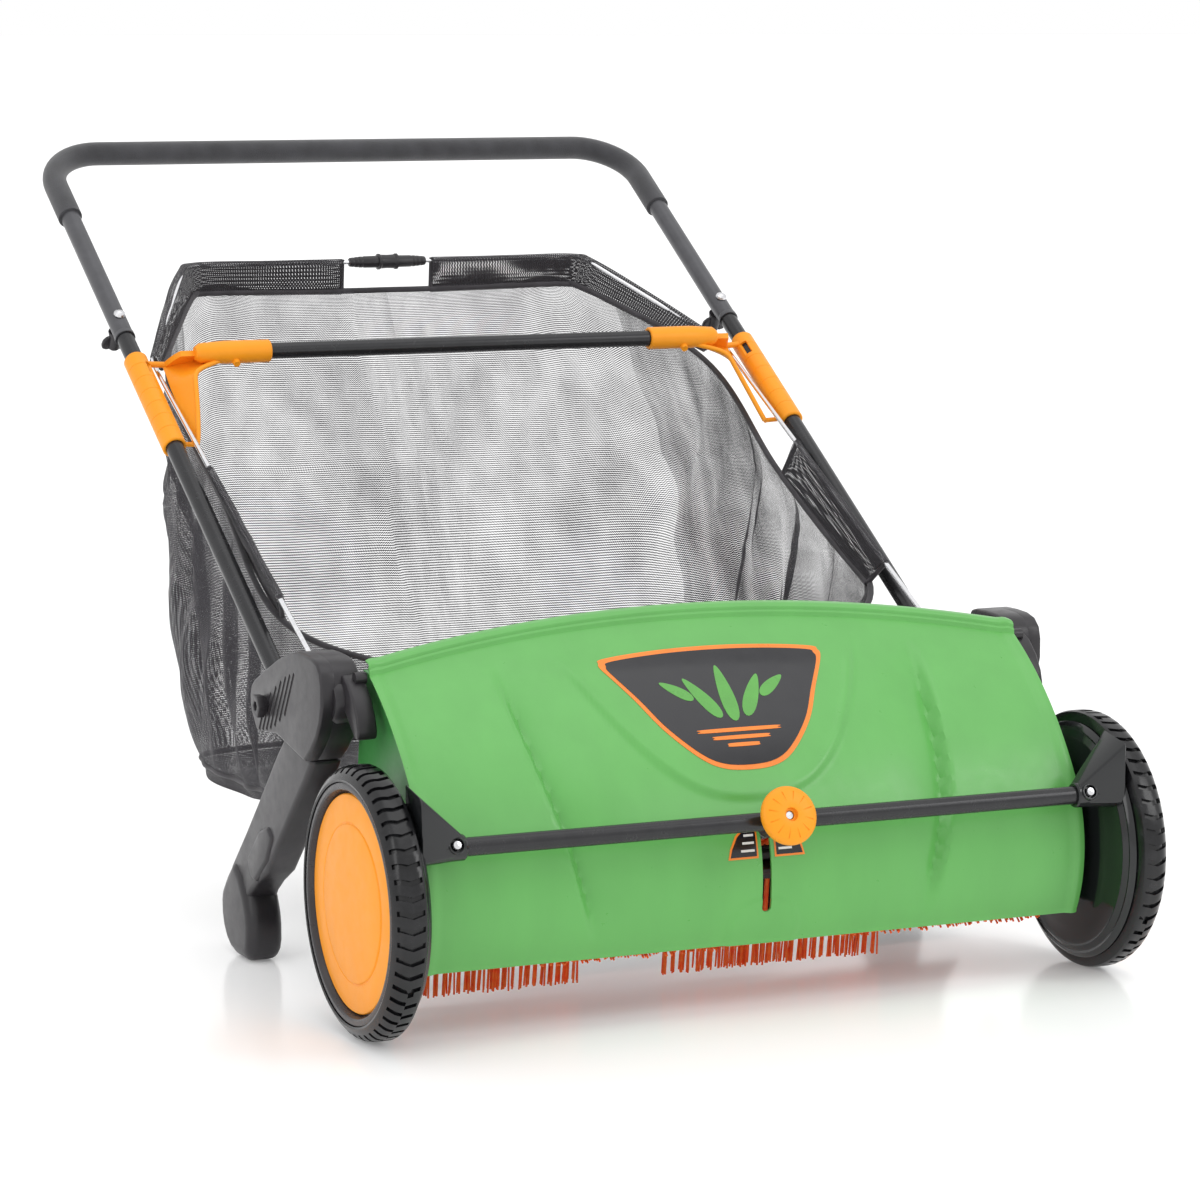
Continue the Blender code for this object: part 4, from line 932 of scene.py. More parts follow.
# ---------------------------------------------------------------- brackets and legs
def side_bracket():
    """The ribbed bracket that holds the handle, with the hook that catches the cover's corner."""
    inner, outer, cheek = 0.345, 0.385, 0.3685
    arch = [(0.1035, 0.292), (0.1035, 0.312), (0.107, 0.324), (0.116, 0.332), (0.130, 0.3355),
            (0.150, 0.3364), (0.170, 0.3360), (0.192, 0.3318), (0.225, 0.3215), (0.262, 0.3060),
            (0.292, 0.2925), (0.3005, 0.286), (0.304, 0.277), (0.3035, 0.267), (0.298, 0.257),
            (0.286, 0.243)]
    underside = [(0.262, 0.2452), (0.229, 0.2480), (0.190, 0.2405), (0.152, 0.2335), (0.135, 0.2455),
                 (0.118, 0.262), (0.1090, 0.2760)]
    plate = round_edges(side_slab("plate", arch + underside, cheek, outer), 0.0032, 4)
    front = arch[:6] + [(0.170, 0.3360), (0.181, 0.3335), (0.181, 0.2392), (0.152, 0.2335), (0.135, 0.2455),
                        (0.118, 0.262), (0.1090, 0.2760)]
    body = round_edges(side_slab("body", front, inner, cheek + 0.006), 0.0040, 4)
    ribs = []
    for number in range(7):
        middle_y, length = 0.1905 + 0.0128 * number, 0.062 - 0.0030 * abs(number - 2.2) ** 1.5
        middle_z = 0.2920 - 0.0052 * number
        groove = block("groove", (-0.0016, -length / 2, -0.0021), (0.0022, length / 2, 0.0021), 0.0008, 1)
        groove.rotation_euler = (math.radians(122.0), 0.0, 0.0)
        groove.location = (outer, AXLE_Y + middle_y, middle_z)
        choose(groove)
        bpy.ops.object.transform_apply(location=True, rotation=True, scale=True)
        ribs.append(groove)
    cut(plate, *ribs)
    hook = [(0.121, 0.3225), (0.104, 0.3215), (0.090, 0.3150), (0.076, 0.3020), (0.066, 0.2870),
            (0.0620, 0.2740), (0.0635, 0.2660), (0.0720, 0.2655), (0.0850, 0.2760), (0.100, 0.2890),
            (0.121, 0.3000)]
    lug = round_edges(side_slab("lug", hook, 0.3442, 0.3640), 0.0030, 3)
    bead = bent_bar("bead", [behind_axle(0.3442 + 0.0016 * k, 0.094, 0.3195) for k in range(8)], 0.0056, 24)
    drum = lathe("drum", [(0.3460, 0.0), (0.3460, 0.0205), (0.3500, 0.0225), (0.3680, 0.0225),
                          (0.3725, 0.0200), (0.3740, 0.0)], behind_axle(0.0, 0.118, 0.2960), steps=48)
    piece = merge("{}_bracket_shell", plate, body, lug, bead, drum)
    fit_pair(piece, "{}_bracket_shell", "housing", BLACK, "{}_side_bracket", smooth=32.0)


def leg():
    """The rear leg: a flat upper blade and a boot-like foot with a knee between them."""
    blade = [(0.152, 0.2328), (0.190, 0.2400), (0.2285, 0.2472), (0.252, 0.226), (0.296, 0.182),
             (0.345, 0.134), (0.392, 0.090), (0.398, 0.060), (0.352, 0.052), (0.338, 0.070),
             (0.318, 0.084), (0.288, 0.100), (0.244, 0.142), (0.200, 0.185), (0.176, 0.208)]
    upper = round_edges(side_slab("blade", blade, 0.3440, 0.3765), 0.0055, 4)
    boot = [(0.3320, 0.052), (0.3400, 0.068), (0.3560, 0.088), (0.378, 0.1015), (0.400, 0.0815),
            (0.4165, 0.0630), (0.4195, 0.0520), (0.4185, 0.0360), (0.4130, 0.0220), (0.4030, 0.0100),
            (0.3910, 0.0030), (0.3780, 0.0), (0.3500, 0.0), (0.3400, 0.0028), (0.3330, 0.0095),
            (0.3292, 0.0200), (0.3290, 0.0380)]
    foot = round_edges(side_slab("boot", boot, 0.3422, 0.3800), 0.0125, 6)
    knee = [(0.262, 0.1400), (0.280, 0.1130), (0.316, 0.0860), (0.330, 0.0900), (0.338, 0.1080),
            (0.300, 0.1420), (0.276, 0.1500)]
    rib = round_edges(side_slab("knee", knee, 0.3600, 0.3792), 0.0045, 3)
    piece = merge("{}_leg_moulding", upper, foot, rib)
    fit_pair(piece, "{}_leg_moulding", "housing", BLACK, "{}_leg", smooth=32.0)


# ---------------------------------------------------------------- handle
def handle_route(low, corner_steps=14):
    """The upper handle's middle line, from one leg round the bar to the other."""
    route = [on_handle(-TUBE_X, low)]
    for i in range(corner_steps + 1):
        turn = math.pi / 2 * i / corner_steps
        route.append(on_handle(-TUBE_X + BEND_RADIUS * (1.0 - math.cos(turn)),
                               BAR_ALONG - BEND_RADIUS * (1.0 - math.sin(turn))))
    return route + [Vector((-p.x, p.y, p.z)) for p in reversed(route)]


def handle():
    """The lower poles, the upper hoop with its foam grip, the cross pole and the height pole."""
    for side, sign in SIDES:
        x = sign * TUBE_X
        lower = bent_bar(f"{side}_lower_pole", [on_handle(x, -TUBE_TAIL), on_handle(x, BOLT_ALONG + 0.03)],
                         LOWER_TUBE_RADIUS)
        fit(lower, "handle", BLACK_TUBE, [f"{side}_lower_tube"])
    upper = bent_bar("upper_hoop", handle_route(COLLAR_ALONG), UPPER_TUBE_RADIUS, 36)
    inside, collar = LOWER_TUBE_RADIUS + 0.0003, UPPER_TUBE_RADIUS + 0.0007
    ring = [(0.0, inside), (0.0, collar), (0.005, collar), (0.006, UPPER_TUBE_RADIUS), (0.006, inside)]
    rings = [lathe("ring", ring, on_handle(sign * TUBE_X, COLLAR_ALONG - 0.001), HANDLE, 36)
             for _, sign in SIDES]
    fit(merge("upper_hoop", upper, *rings), "handle", GREY_TUBE, ["upper_handle"])
    grip = bent_bar("foam_grip", handle_route(GRIP_ALONG), GRIP_RADIUS, 36)
    round_edges(grip, 0.0018, 3, 60.0)
    fit(grip, "handle", FOAM, ["handle_grip"])
    bar_half = SOCKET_X + 0.070
    bar = bent_bar("cross_pole", [on_handle(-bar_half, CROSS_ALONG, CROSS_ABOVE),
                                  on_handle(bar_half, CROSS_ALONG, CROSS_ABOVE)], CROSS_RADIUS)
    fit(bar, "handle", BLACK_TUBE, ["cross_bar"])
    rod = bent_bar("height_pole", [Vector((-ROD_HALF, *ROD)), Vector((ROD_HALF, *ROD))], ROD_RADIUS)
    fit(rod, "height_frame", BLACK_TUBE, ["height_rod"])


def corner_bracket():
    """The orange bracket: a lined sleeve on the tube, a socket for the cross bar and a curved web."""
    lines = 7
    outline = [(SLEEVE_LOW, LOWER_TUBE_RADIUS + 0.0004), (SLEEVE_LOW, SLEEVE_RADIUS - 0.0012),
               (SLEEVE_LOW + 0.0010, SLEEVE_RADIUS)]
    for number in range(1, lines):
        along = SLEEVE_LOW + (SLEEVE_HIGH - SLEEVE_LOW) * number / lines
        outline += [(along - 0.0006, SLEEVE_RADIUS), (along, SLEEVE_RADIUS - 0.0006),
                    (along + 0.0006, SLEEVE_RADIUS)]
    outline += [(SLEEVE_HIGH - 0.0030, SLEEVE_RADIUS), (SLEEVE_HIGH, SLEEVE_RADIUS - 0.0020),
                (SLEEVE_HIGH, LOWER_TUBE_RADIUS + 0.0004)]
    sleeve = lathe("sleeve", outline, on_handle(TUBE_X, 0.0), HANDLE, 48)
    window = on_handle(TUBE_X, SLEEVE_HIGH - 0.028)
    opening = block("window", (-0.006, -0.010, -0.003), (0.006, 0.010, 0.003))
    opening.rotation_euler = (HANDLE_ANGLE, 0.0, 0.0)
    opening.location = window + 0.0125 * HANDLE_UP * 0.72 + Vector((-0.0095, 0.0, 0.0))
    choose(opening)
    bpy.ops.object.transform_apply(location=True, rotation=True, scale=True)
    cut(sleeve, opening)
    socket = lathe("socket", [(SOCKET_X, CROSS_RADIUS + 0.0004), (SOCKET_X, 0.0112),
                              (SOCKET_X + 0.0012, 0.0122), (SOCKET_X + 0.050, 0.0124),
                              (SOCKET_X + 0.078, 0.0105), (SOCKET_X + 0.083, 0.0070),
                              (SOCKET_X + 0.083, 0.0), (SOCKET_X + 0.071, 0.0),
                              (SOCKET_X + 0.071, CROSS_RADIUS + 0.0004)],
                   on_handle(0.0, CROSS_ALONG, CROSS_ABOVE), (1.0, 0.0, 0.0), 48)

    steep = Vector((-0.6285, 0.0, 0.0)) + 0.779 * HANDLE_UP

    def web_at(u, v):
        """u runs from the sleeve side to the free edge, v from the low tip up to the socket."""
        outer_edge = on_handle(0.3318, 0.4200 + 0.1280 * v, -0.0080 + 0.0100 * v)
        width = 0.004 + 0.0355 * v ** 0.8
        fillet = ease(v, 0.66, 1.0) ** 1.6
        free_edge = outer_edge + width * steep - 0.012 * v * HANDLE + Vector((-0.046 * fillet, 0.0, 0.0))
        free_edge -= 0.006 * fillet * HANDLE_UP
        return outer_edge.lerp(free_edge, u)

    def fan_at(u, v):
        """The web carried on up from its widest row to the socket's middle line."""
        middle_line = on_handle(0.3210 - 0.0560 * u, CROSS_ALONG, CROSS_ABOVE)
        bulge = 0.0030 * math.sin(math.pi * v) * math.sin(math.pi * (0.15 + 0.7 * u))
        return web_at(u, 1.0).lerp(middle_line, v) + bulge * HANDLE_UP

    web = thicken(surface("web", 14, 30, web_at), 0.0034, 0.0)
    round_edges(web, 0.0012, 2)
    edge = bent_bar("edge_bead", [web_at(1.0, k / 24.0) for k in range(25)], 0.0027, 16)
    fan = thicken(surface("fan", 14, 10, fan_at), 0.0060, 0.0)
    round_edges(fan, 0.0022, 3)
    high_tie = bent_bar("high_tie",
                        [on_handle(TUBE_X - 0.010, 0.5500, 0.0040), on_handle(0.3290, 0.5480, 0.0040)],
                        0.0034, 16)
    low_tie = bent_bar("low_tie",
                       [on_handle(TUBE_X - 0.010, 0.4230, -0.0060), on_handle(0.3320, 0.4230, -0.0070)],
                       0.0026, 16)
    boss = lathe("boss", [(0.0, 0.0), (0.0, 0.0042), (0.0050, 0.0036), (0.0050, 0.0), (0.0, 0.0)],
                 on_handle(SOCKET_X + 0.040, CROSS_ALONG - 0.0115, CROSS_ABOVE - 0.004),
                 (0.0, -0.85, -0.53), 24)
    piece = merge("{}_corner_moulding", sleeve, socket, web, fan, edge, high_tie, low_tie, boss)
    fit_pair(piece, "{}_corner_moulding", "handle", ORANGE, "{}_corner_bracket",
             smooth=32.0)


def knobs():
    """The height knob with its grooves, the hexagon knobs, the wing knobs and the bolts over them."""
    from_brush = Vector((0.0, *BRUSH))
    knob_low = (middle("height_knob") - from_brush).length - 0.00925
    radius, depth = 0.028, 0.0185
    outline = [(knob_low, 0.0042), (knob_low, 0.0120), (knob_low + 0.0040, 0.0215),
               (knob_low + 0.0062, 0.0262), (knob_low + 0.0085, radius - 0.0003),
               (knob_low + 0.0110, radius), (knob_low + 0.0135, 0.0274), (knob_low + 0.0155, 0.0252),
               (knob_low + 0.0168, 0.0215), (knob_low + 0.0178, 0.0150), (knob_low + depth, 0.0085),
               (knob_low + depth - 0.0004, 0.0066), (knob_low + depth - 0.0040, 0.0062),
               (knob_low + depth - 0.0040, 0.0042)]
    knob = lathe("height_dial", outline, from_brush, ROD_OUTWARD, 96)
    across = Vector((1.0, 0.0, 0.0))
    upwards = ROD_OUTWARD.cross(across)
    for number in range(12):
        turn = 2.0 * math.pi * (number + 0.5) / 12
        spoke = across * math.cos(turn) + upwards * math.sin(turn)
        start = from_brush + ROD_OUTWARD * (knob_low + depth + 0.0001) + spoke * 0.0125
        end = from_brush + ROD_OUTWARD * (knob_low + depth - 0.0022) + spoke * 0.0228
        cut(knob, pole("groove", start, end, 0.0006, 8))
    fit(knob, "height_knob", ORANGE, ["height_knob"], smooth=35.0)

    end_x = 0.3945
    deselect()
    bpy.ops.mesh.primitive_cylinder_add(vertices=6, radius=0.0122, depth=end_x - 0.3870,
                                        location=((end_x + 0.3870) / 2, *PIVOT),
                                        rotation=(0.0, math.pi / 2, 0.0))
    hexagon = add("hexagon")
    bpy.ops.object.transform_apply(location=True, rotation=True, scale=True)
    edit(hexagon, "FACE")
    pick(hexagon, lambda centre, normal: normal.x > 0.9)
    bpy.ops.mesh.inset(thickness=0.0062)
    bpy.ops.mesh.extrude_region_move(TRANSFORM_OT_translate={"value": (-0.0035, 0.0, 0.0)})
    done()
    round_edges(hexagon, 0.0007, 2)
    collar = lathe("collar", [(0.3855, 0.0), (0.3855, 0.0100), (0.3872, 0.0100), (0.3880, 0.0092),
                              (0.3880, 0.0)],
                   (0.0, *PIVOT), steps=32)
    shank = pole("shank", (0.3460, *PIVOT), (0.3860, *PIVOT), 0.0034, 20)
    piece = merge("{}_fold_knob", hexagon, collar, shank)
    fit_pair(piece, "{}_fold_knob", "{}_hex_knob", BLACK, "{}_hex_knob", smooth=30.0)

    clear = UPPER_TUBE_RADIUS + 0.0016
    bolt = on_handle(TUBE_X, BOLT_ALONG)
    hub = lathe("hub", [(-0.0340, 0.0), (-0.0340, 0.0052), (-0.0325, 0.0064), (-clear - 0.0060, 0.0070),
                        (-clear - 0.0010, 0.0086), (-clear, 0.0084), (-clear, 0.0033), (-0.0302, 0.0033),
                        (-0.0302, 0.0)], bolt, HANDLE_UP, 40)
    wings = []
    for sign in (-1, 1):
        profile = [(0.0040, -0.0335), (0.0085, -0.0345), (0.0130, -0.0330), (0.0140, -0.0290),
                   (0.0130, -0.0235), (0.0095, -0.0195), (0.0060, -0.0180), (0.0040, -0.0190)]
        wing = slab("wing", [bolt + Vector((sign * a, 0.0, 0.0)) + HANDLE_UP * b - HANDLE * 0.0022
                             for a, b in profile], tuple(HANDLE * 0.0044))
        wings.append(round_edges(wing, 0.0012, 3))
    piece = merge("{}_wing_nut", hub, *wings)
    fit_pair(piece, "{}_wing_nut", "{}_wing_knob", BLACK, "{}_wing_knob", smooth=35.0)


def bag_frame():
    """The bright wire that carries the bag, and the clasp that joins its halves at the top."""
    for side, sign in SIDES:
        route = [on_bag_frame(BAG_ROD_X, 0.0), on_bag_frame(BAG_ROD_X, BAG_BEND_ALONG - 0.012)]
        route += smooth_curve([on_bag_frame(BAG_ROD_X, BAG_BEND_ALONG - 0.012),
                               on_bag_frame(BAG_ROD_X - 0.001, BAG_BEND_ALONG),
                               on_bag_frame(BAG_ROD_X - 0.010, BAG_BEND_ALONG + 0.018)], 5)
        route += smooth_curve([on_bag_frame(BAG_CORNER_X + 0.004, BAG_TOP_ALONG - 0.018),
                               on_bag_frame(BAG_CORNER_X - 0.003, BAG_TOP_ALONG - 0.005),
                               on_bag_frame(BAG_CORNER_X - 0.018, BAG_TOP_ALONG)], 6)
        route.append(on_bag_frame(0.004, BAG_TOP_ALONG))
        bar = bent_bar(f"{side}_frame_wire", [Vector((sign * p.x, p.y, p.z)) for p in route],
                       BAG_ROD_RADIUS, 20)
        fit(bar, "bag", CHROME, [f"{side}_bag_rod"])
    half = [(0.0, 0.0076), (0.0080, 0.0080), (0.0095, 0.0090), (0.0115, 0.0090), (0.0122, 0.0068),
            (0.0280, 0.0066), (0.0300, 0.0060), (0.0310, 0.0064), (0.0340, 0.0062), (0.0350, 0.0056),
            (0.0360, 0.0060), (0.0390, 0.0057), (0.0400, 0.0051), (0.0410, 0.0055), (0.0450, 0.0050),
            (CLASP_HALF, 0.0042), (CLASP_HALF, 0.0029)]
    outline = [(-a, r) for a, r in reversed(half[1:])] + half
    clasp = lathe("frame_clasp", outline, on_bag_frame(0.0, BAG_TOP_ALONG), (1.0, 0.0, 0.0), 48)
    fit(clasp, "bag", BLACK, ["bag_clasp"], smooth=30.0)


# ---------------------------------------------------------------- brush
def bristle_rows():
    """Six rows of filament tufts on black strips, each stepped against the next."""
    rng = random.Random(7)
    tip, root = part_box("brush_row_1")[0].z, 0.0280
    reach = BRUSH[1] - tip
    spacing, filaments, thick, thin = 0.0080, 5, 0.00130, 0.00100
    first_row = math.pi + math.radians(7.0)
    even_runs, odd_runs = ((-0.320, -0.128), (-0.040, 0.195)), ((-0.215, -0.005), (0.095, 0.320))
    for row in range(6):
        shape = bmesh.new()
        for start, end in (odd_runs if row % 2 else even_runs):
            count = int(round((end - start) / spacing))
            for number in range(count):
                centre = start + (number + 0.5) * (end - start) / count
                for _ in range(filaments):
                    foot = Vector((centre + rng.uniform(-0.0016, 0.0016), rng.uniform(-0.0020, 0.0020), root))
                    splay = Vector((rng.gauss(-0.0010, 0.0016), rng.gauss(0.0, 0.0019), 0.0))
                    length = reach - rng.uniform(0.0004, 0.0050) - root
                    head = foot + Vector((splay.x, splay.y, length))
                    head.x = min(max(head.x, start + 0.0004), end - 0.0004)
                    head.y = min(max(head.y, -0.0037), 0.0037)
                    made = bmesh.ops.create_cone(shape, cap_ends=True, segments=5, radius1=thick,
                                                 radius2=thin, depth=length)["verts"]
                    for vertex in made:
                        share = vertex.co.z / length + 0.5
                        vertex.co = Vector((vertex.co.x, vertex.co.y, 0.0)) + foot.lerp(head, share)
        mesh = bpy.data.meshes.new("filaments")
        shape.to_mesh(mesh)
        shape.free()
        tufts = bpy.data.objects.new("filaments", mesh)
        bpy.context.collection.objects.link(tufts)
        strip = block("strip", (-0.322, -0.0040, 0.0188), (0.322, 0.0040, 0.0300), 0.0012, 2)
        strip.data.materials.append(BLACK)
        tufts.data.materials.append(BRISTLE)
        piece = merge(f"bristle_row_{row + 1}", tufts, strip)
        piece.rotation_euler = (first_row + 2.0 * math.pi * row / 6, 0.0, 0.0)
        piece.location = (0.0, *BRUSH)
        choose(piece)
        bpy.ops.object.transform_apply(location=True, rotation=True, scale=True)
        fit(piece, "brush", [BRISTLE, BLACK], [f"brush_row_{row + 1}"], smooth=40.0)


# ---------------------------------------------------------------- bag
NOTCH = CLASP_HALF + 0.006
# shares round the bag where its side walls begin and end, the share down it where its floor
# begins, and the size of its map and of the hem sleeves' cloth
SIDE_FROM, SIDE_TO, FLOOR_FROM = 3.3 / 16.0, 6.5 / 16.0, 0.655
BAG_MAP, SLEEVE_GIRTH = (1.92, 0.62), 0.066


def loop_through(points, steps=14):
    """A closed smooth loop round the bag from the points of its right half, back to front."""
    left = [Vector((-p.x, p.y, p.z)) for p in points[-2:0:-1]]
    return smooth_curve(points + left, steps, closed=True)


def bag_loops():
    """Rings of the bag from the taped edge of its mouth down to the middle of its floor.

    Each ring starts at the middle of the rear wall and ends at the middle of the front edge.
    """
    mouth = [on_bag_frame(0.0, BAG_TOP_ALONG - 0.0120, -0.0300),
             on_bag_frame(NOTCH, BAG_TOP_ALONG - 0.0120, -0.0300),
             on_bag_frame(0.150, BAG_TOP_ALONG - 0.0110, -0.0290),
             on_bag_frame(BAG_CORNER_X - 0.018, BAG_TOP_ALONG - 0.0140, -0.0270),
             on_bag_frame(BAG_ROD_X - 0.020, BAG_BEND_ALONG - 0.006, -0.0190),
             on_bag_frame(BAG_ROD_X - 0.016, 0.380, -0.0330), on_bag_frame(BAG_ROD_X - 0.010, 0.150, -0.0300),
             behind_axle(0.200, 0.290, 0.288), behind_axle(0.0, 0.285, 0.255)]
    upper = [(0.0, 0.862, 0.520), (NOTCH, 0.862, 0.520), (0.150, 0.862, 0.520), (0.238, 0.855, 0.520),
             (0.326, 0.730, 0.470), (0.331, 0.540, 0.385), (0.327, 0.375, 0.318), (0.200, 0.305, 0.265),
             (0.0, 0.298, 0.238)]
    middle_ring = [(0.0, 0.805, 0.400), (NOTCH, 0.805, 0.400), (0.150, 0.805, 0.400), (0.252, 0.796, 0.400),
                   (0.324, 0.700, 0.376), (0.328, 0.530, 0.325), (0.325, 0.380, 0.270), (0.200, 0.318, 0.235),
                   (0.0, 0.311, 0.215)]
    lower = [(0.0, 0.742, 0.260), (NOTCH, 0.742, 0.260), (0.150, 0.742, 0.260), (0.254, 0.732, 0.260),
             (0.325, 0.682, 0.250), (0.326, 0.532, 0.228), (0.322, 0.402, 0.208), (0.200, 0.345, 0.196),
             (0.0, 0.337, 0.190)]
    hem = [(0.0, 0.690, 0.150), (NOTCH, 0.690, 0.150), (0.150, 0.688, 0.150), (0.248, 0.680, 0.150),
           (0.318, 0.652, 0.148), (0.318, 0.532, 0.144), (0.312, 0.428, 0.152), (0.200, 0.374, 0.166),
           (0.0, 0.366, 0.170)]
    floor_ring = [(0.0, 0.655, 0.138), (NOTCH, 0.655, 0.138), (0.140, 0.652, 0.138), (0.220, 0.640, 0.138),
                  (0.280, 0.615, 0.137), (0.285, 0.532, 0.136), (0.270, 0.460, 0.140), (0.180, 0.410, 0.146),
                  (0.0, 0.402, 0.148)]
    below = [[behind_axle(*point) for point in ring] for ring in (upper, middle_ring, lower, hem, floor_ring)]
    return [loop_through(points) for points in [mouth] + below]


def bag_point_maker():
    """A function that gives a point on the bag for a share round it and a share down it."""
    loops = bag_loops()
    count = len(loops[0])
    middle_floor = sum(loops[-1], Vector()) / count

    def at(loop, place):
        step = int(place) % count
        return loop[step].lerp(loop[(step + 1) % count], place - int(place))

    def spline(points, place):
        step = min(int(place), len(points) - 2)
        t = place - step
        a, b = points[max(step - 1, 0)], points[step]
        c, d = points[step + 1], points[min(step + 2, len(points) - 1)]
        return through(a, b, c, d, t)

    def point_at(u, v):
        around = u * count
        column = [at(loop, around) for loop in loops] + [middle_floor]
        here = spline(column, v * (len(column) - 1))
        slack = math.sin(math.pi * min(v / 0.70, 1.0))
        outwards = Vector((here.x * 1.6, here.y - middle_floor.y, 0.0)).normalized()
        side = ease(abs(here.x), 0.20, 0.31)
        folds = side * 0.0105 * slack * (math.sin((here.y - AXLE_Y) * 66.0 + 1.9 * noise.noise(here * 6.0))
                                         + 0.5 * math.sin((here.y - AXLE_Y) * 141.0 + here.z * 14.0))
        pull = 0.006 * noise.noise(here * 7.0 + Vector((3.1, 0.0, 0.0))) + 0.0022 * noise.noise(here * 22.0)
        pleat_x = -0.050 + 0.022 * (0.56 - here.z) + 0.006 * math.sin(here.z * 31.0)
        behind = ease(here.y, AXLE_Y + 0.60, AXLE_Y + 0.72)
        pleat = -0.010 * behind * math.exp(-((here.x - pleat_x) / 0.0065) ** 2) * (1.0 - ease(v, 0.30, 0.66))
        crease = -0.0035 * behind * math.exp(-((here.z - 0.435 - 0.02 * here.x) / 0.0040) ** 2)
        crease -= 0.0030 * behind * math.exp(-((here.z - 0.350 + 0.03 * abs(here.x - 0.1)) / 0.0035) ** 2)
        belly = 0.004 * slack * behind
        sag = 0.0020 * noise.noise(here * 9.0) if v > 0.7 else 0.0
        return here + outwards * (folds + pull * slack + pleat + crease * slack + belly) + Vector((0, 0, sag))

    return point_at, loops[0]


def bag_body(point_at):
    """The sewn body: open mesh behind and in front, closer mesh at the sides, cloth below the floor seam."""
    body = surface("bag_body", 320, 110, point_at)
    edit(body)
    bpy.ops.mesh.remove_doubles(threshold=0.00002)
    done()
    for cloth in (MESH, SIDE_MESH, BASE_CLOTH):
        body.data.materials.append(cloth)
    for face in body.data.polygons:
        share, down = body.data.uv_layers.active.data[face.loop_indices[0]].uv
        is_side = SIDE_FROM < min(share, 1.0 - share) < SIDE_TO
        face.material_index = 2 if down > FLOOR_FROM else int(is_side)
    stretch_uv(body, *BAG_MAP)
    return fit(body, "bag", [MESH, SIDE_MESH, BASE_CLOTH], ["bag"], smooth=80.0)


def bag_seams(point_at):
    """The taped floor seam and the fine seams up the front of both side walls."""
    ring = [point_at(k / 240.0, FLOOR_FROM) for k in range(240)]
    seams = [bent_bar("floor_seam", ring, 0.0026, 10, closed=True)]
    for share in (SIDE_TO, 1.0 - SIDE_TO):
        line = [point_at(share, FLOOR_FROM * k / 60.0) for k in range(61)]
        seams.append(bent_bar("floor_seam", line, 0.0008, 6))
    return fit(merge("floor_seam", *seams), "bag", TAPE, smooth=60.0)


def hem_routes():
    """Name, wire line and taped edge line of each hem sleeve: the rear and side ones, left and right."""
    top = [on_bag_frame(NOTCH + 0.002, BAG_TOP_ALONG), on_bag_frame(0.150, BAG_TOP_ALONG),
           on_bag_frame(BAG_CORNER_X - 0.016, BAG_TOP_ALONG),
           on_bag_frame(BAG_CORNER_X + 0.006, BAG_TOP_ALONG - 0.016),
           on_bag_frame(0.292, 0.697), on_bag_frame(BAG_ROD_X - 0.004, BAG_BEND_ALONG + 0.004)]
    top_edge = [on_bag_frame(NOTCH + 0.002, BAG_TOP_ALONG - 0.0120, -0.0300),
                on_bag_frame(0.150, BAG_TOP_ALONG - 0.0110, -0.0290),
                on_bag_frame(BAG_CORNER_X - 0.024, BAG_TOP_ALONG - 0.0120, -0.0280),
                on_bag_frame(BAG_CORNER_X - 0.006, BAG_TOP_ALONG - 0.030, -0.0250),
                on_bag_frame(0.279, 0.690, -0.0190),
                on_bag_frame(BAG_ROD_X - 0.015, BAG_BEND_ALONG + 0.006, -0.0130)]
    low = [on_bag_frame(BAG_ROD_X, 0.385), on_bag_frame(BAG_ROD_X, 0.270), on_bag_frame(BAG_ROD_X, 0.150)]
    low_edge = [on_bag_frame(BAG_ROD_X - 0.016, 0.372, -0.0325),
                on_bag_frame(BAG_ROD_X - 0.013, 0.262, -0.0335),
                on_bag_frame(BAG_ROD_X - 0.010, 0.158, -0.0300)]
    return [(f"{side}_{name}_hem",
             smooth_curve([Vector((sign * p.x, p.y, p.z)) for p in wire], 12),
             smooth_curve([Vector((sign * p.x, p.y, p.z)) for p in hem], 12))
            for side, sign in SIDES for name, wire, hem in (("rear", top, top_edge), ("side", low, low_edge))]


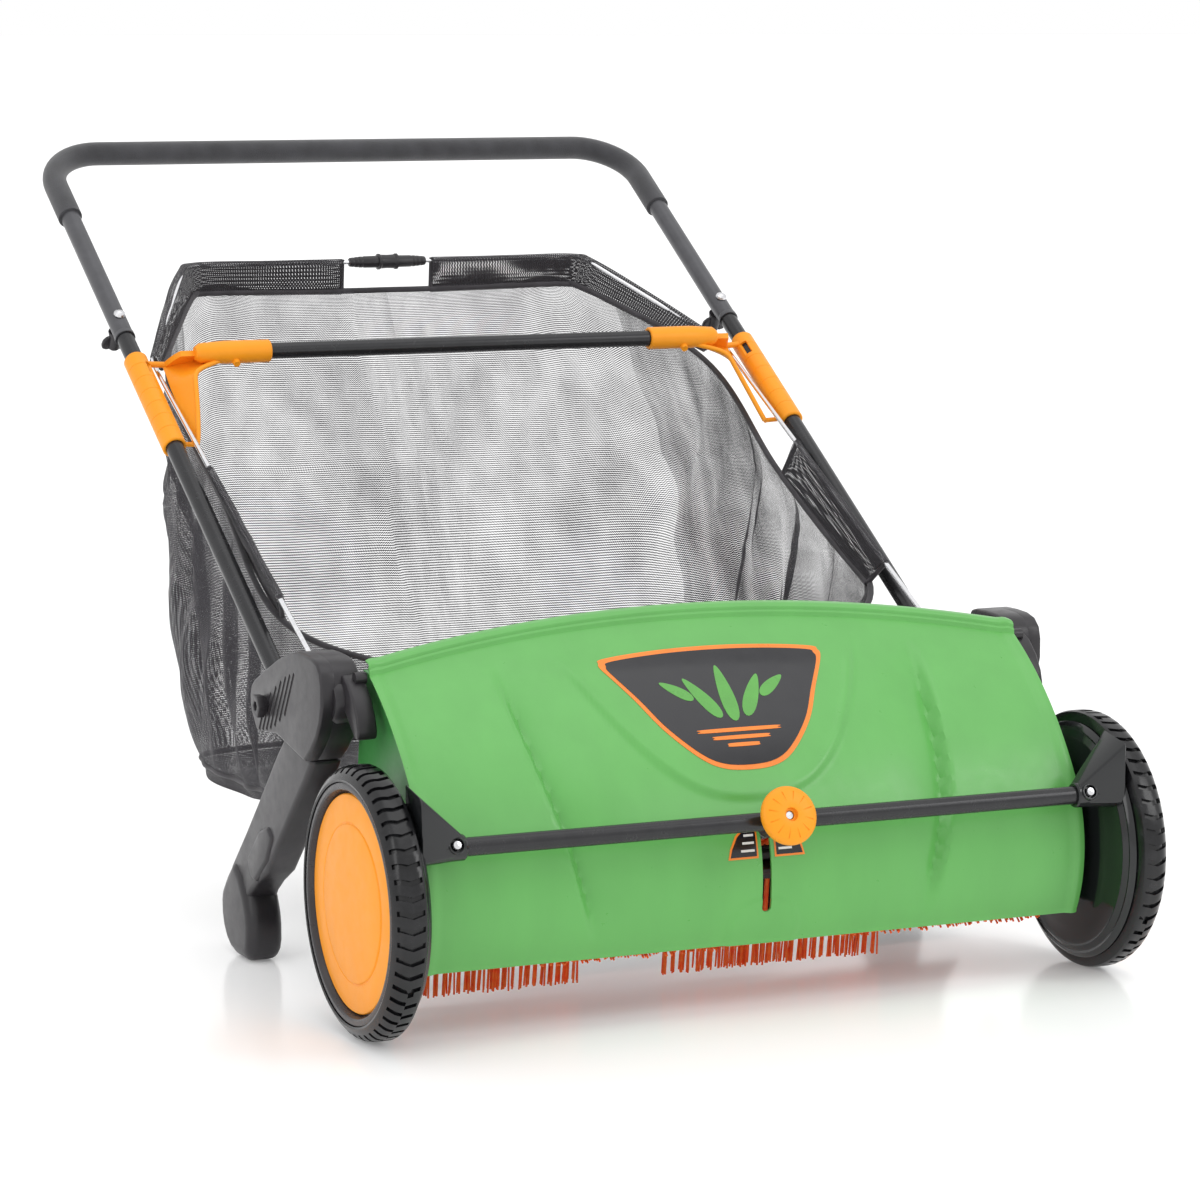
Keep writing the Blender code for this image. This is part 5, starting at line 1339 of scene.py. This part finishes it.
def hem_sleeve(name, wire, hem):
    """A band of mesh folded over the wire, with both of its edges meeting in the taped edge."""
    fold_share, wrap = 0.3, 0.0042

    def sleeve_at(u, v):
        place = v * (len(wire) - 1)
        step = min(int(place), len(wire) - 2)
        top = wire[step].lerp(wire[step + 1], place - step)
        foot = hem[step].lerp(hem[step + 1], place - step)
        down = (foot - top).normalized()
        along = (wire[min(step + 1, len(wire) - 1)] - wire[max(step - 1, 0)]).normalized()
        out = down.cross(along).normalized()
        swing = 2.0 * u - 1.0
        if abs(swing) < fold_share:
            turn = math.pi / 2 * swing / fold_share
            here = top + out * (wrap * math.sin(turn)) - down * (wrap * math.cos(turn))
        else:
            share = (abs(swing) - fold_share) / (1.0 - fold_share)
            side = wrap * (1.0 - 0.65 * share ** 1.5) + 0.0007 * noise.noise(top * 40.0 + foot * share * 60.0)
            here = top.lerp(foot, share) + out * math.copysign(side, swing)
        return here + out * (0.0012 * noise.noise(here * 26.0))

    piece = surface(name, 22, 90 if "rear" in name else 50, sleeve_at)
    length = sum((b - a).length for a, b in zip(wire, wire[1:]))
    stretch_uv(piece, SLEEVE_GIRTH, length)
    return fit(piece, "bag", HEM_MESH, smooth=80.0)


def bag():
    """The mesh bag: one sewn body that hangs from the frame, hem sleeves round the wire and tape."""
    point_at, mouth = bag_point_maker()
    body = bag_body(point_at)
    tape = fit(bent_bar("mouth_tape", mouth, 0.0032, 12, closed=True), "bag", TAPE, smooth=60.0)
    seam = bag_seams(point_at)
    sleeves, bindings = [], []
    for name, wire, hem in hem_routes():
        sleeves.append(hem_sleeve(name, wire, hem))
        for end in (0, -1):
            down = hem[end] - wire[end]
            line = [wire[end] - down * 0.10, wire[end] + down * 0.35, hem[end]]
            bindings.append(bent_bar("binding", line, 0.0026, 10))
        line = [h + (h - w).normalized() * 0.0006 for w, h in zip(wire, hem)]
        bindings.append(bent_bar("binding", line, 0.0034, 10))
    fit(merge("hem_binding", *bindings), "bag", TAPE, smooth=60.0)
    return body, tape, seam, sleeves


# ---------------------------------------------------------------- build everything
camera_and_light()
floor()
front_cover()
badge()
height_scale()
tyre()
wheel_faces()
wheel_cover()
side_bracket()
leg()
handle()
corner_bracket()
knobs()
bag_frame()
bristle_rows()
BODY, MOUTH_TAPE, FLOOR_SEAM, SLEEVES = bag()
for sleeve in SLEEVES:
    size = (0.41, 0.066) if "rear" in sleeve.name else (0.28, 0.068)

# The end panels take the darker green that paints in the shade of the recess behind the wheels.
NODE_LOOKS = {
    "left_end_panel": SHADED_PANEL_GREEN, "right_end_panel": SHADED_PANEL_GREEN, "rear_ramp": BLACK,
    "rear_stretcher": BLACK_TUBE, "clamp_spacer": BLACK, "clamp_bolt": STEEL, "brush_core": BLACK,
    "brush_shaft": STEEL,
}
for side, _ in SIDES:
    for node, look in (("axle", STEEL), ("brush_bush", BLACK), ("pinion", STEEL), ("ring_gear", BLACK),
                       ("rod_screw", STEEL), ("handle_bolt", STEEL)):
        NODE_LOOKS[f"{side}_{node}"] = look
for node, look in NODE_LOOKS.items():
    materials = bpy.data.objects[node].data.materials
    materials.clear()
    materials.append(look)
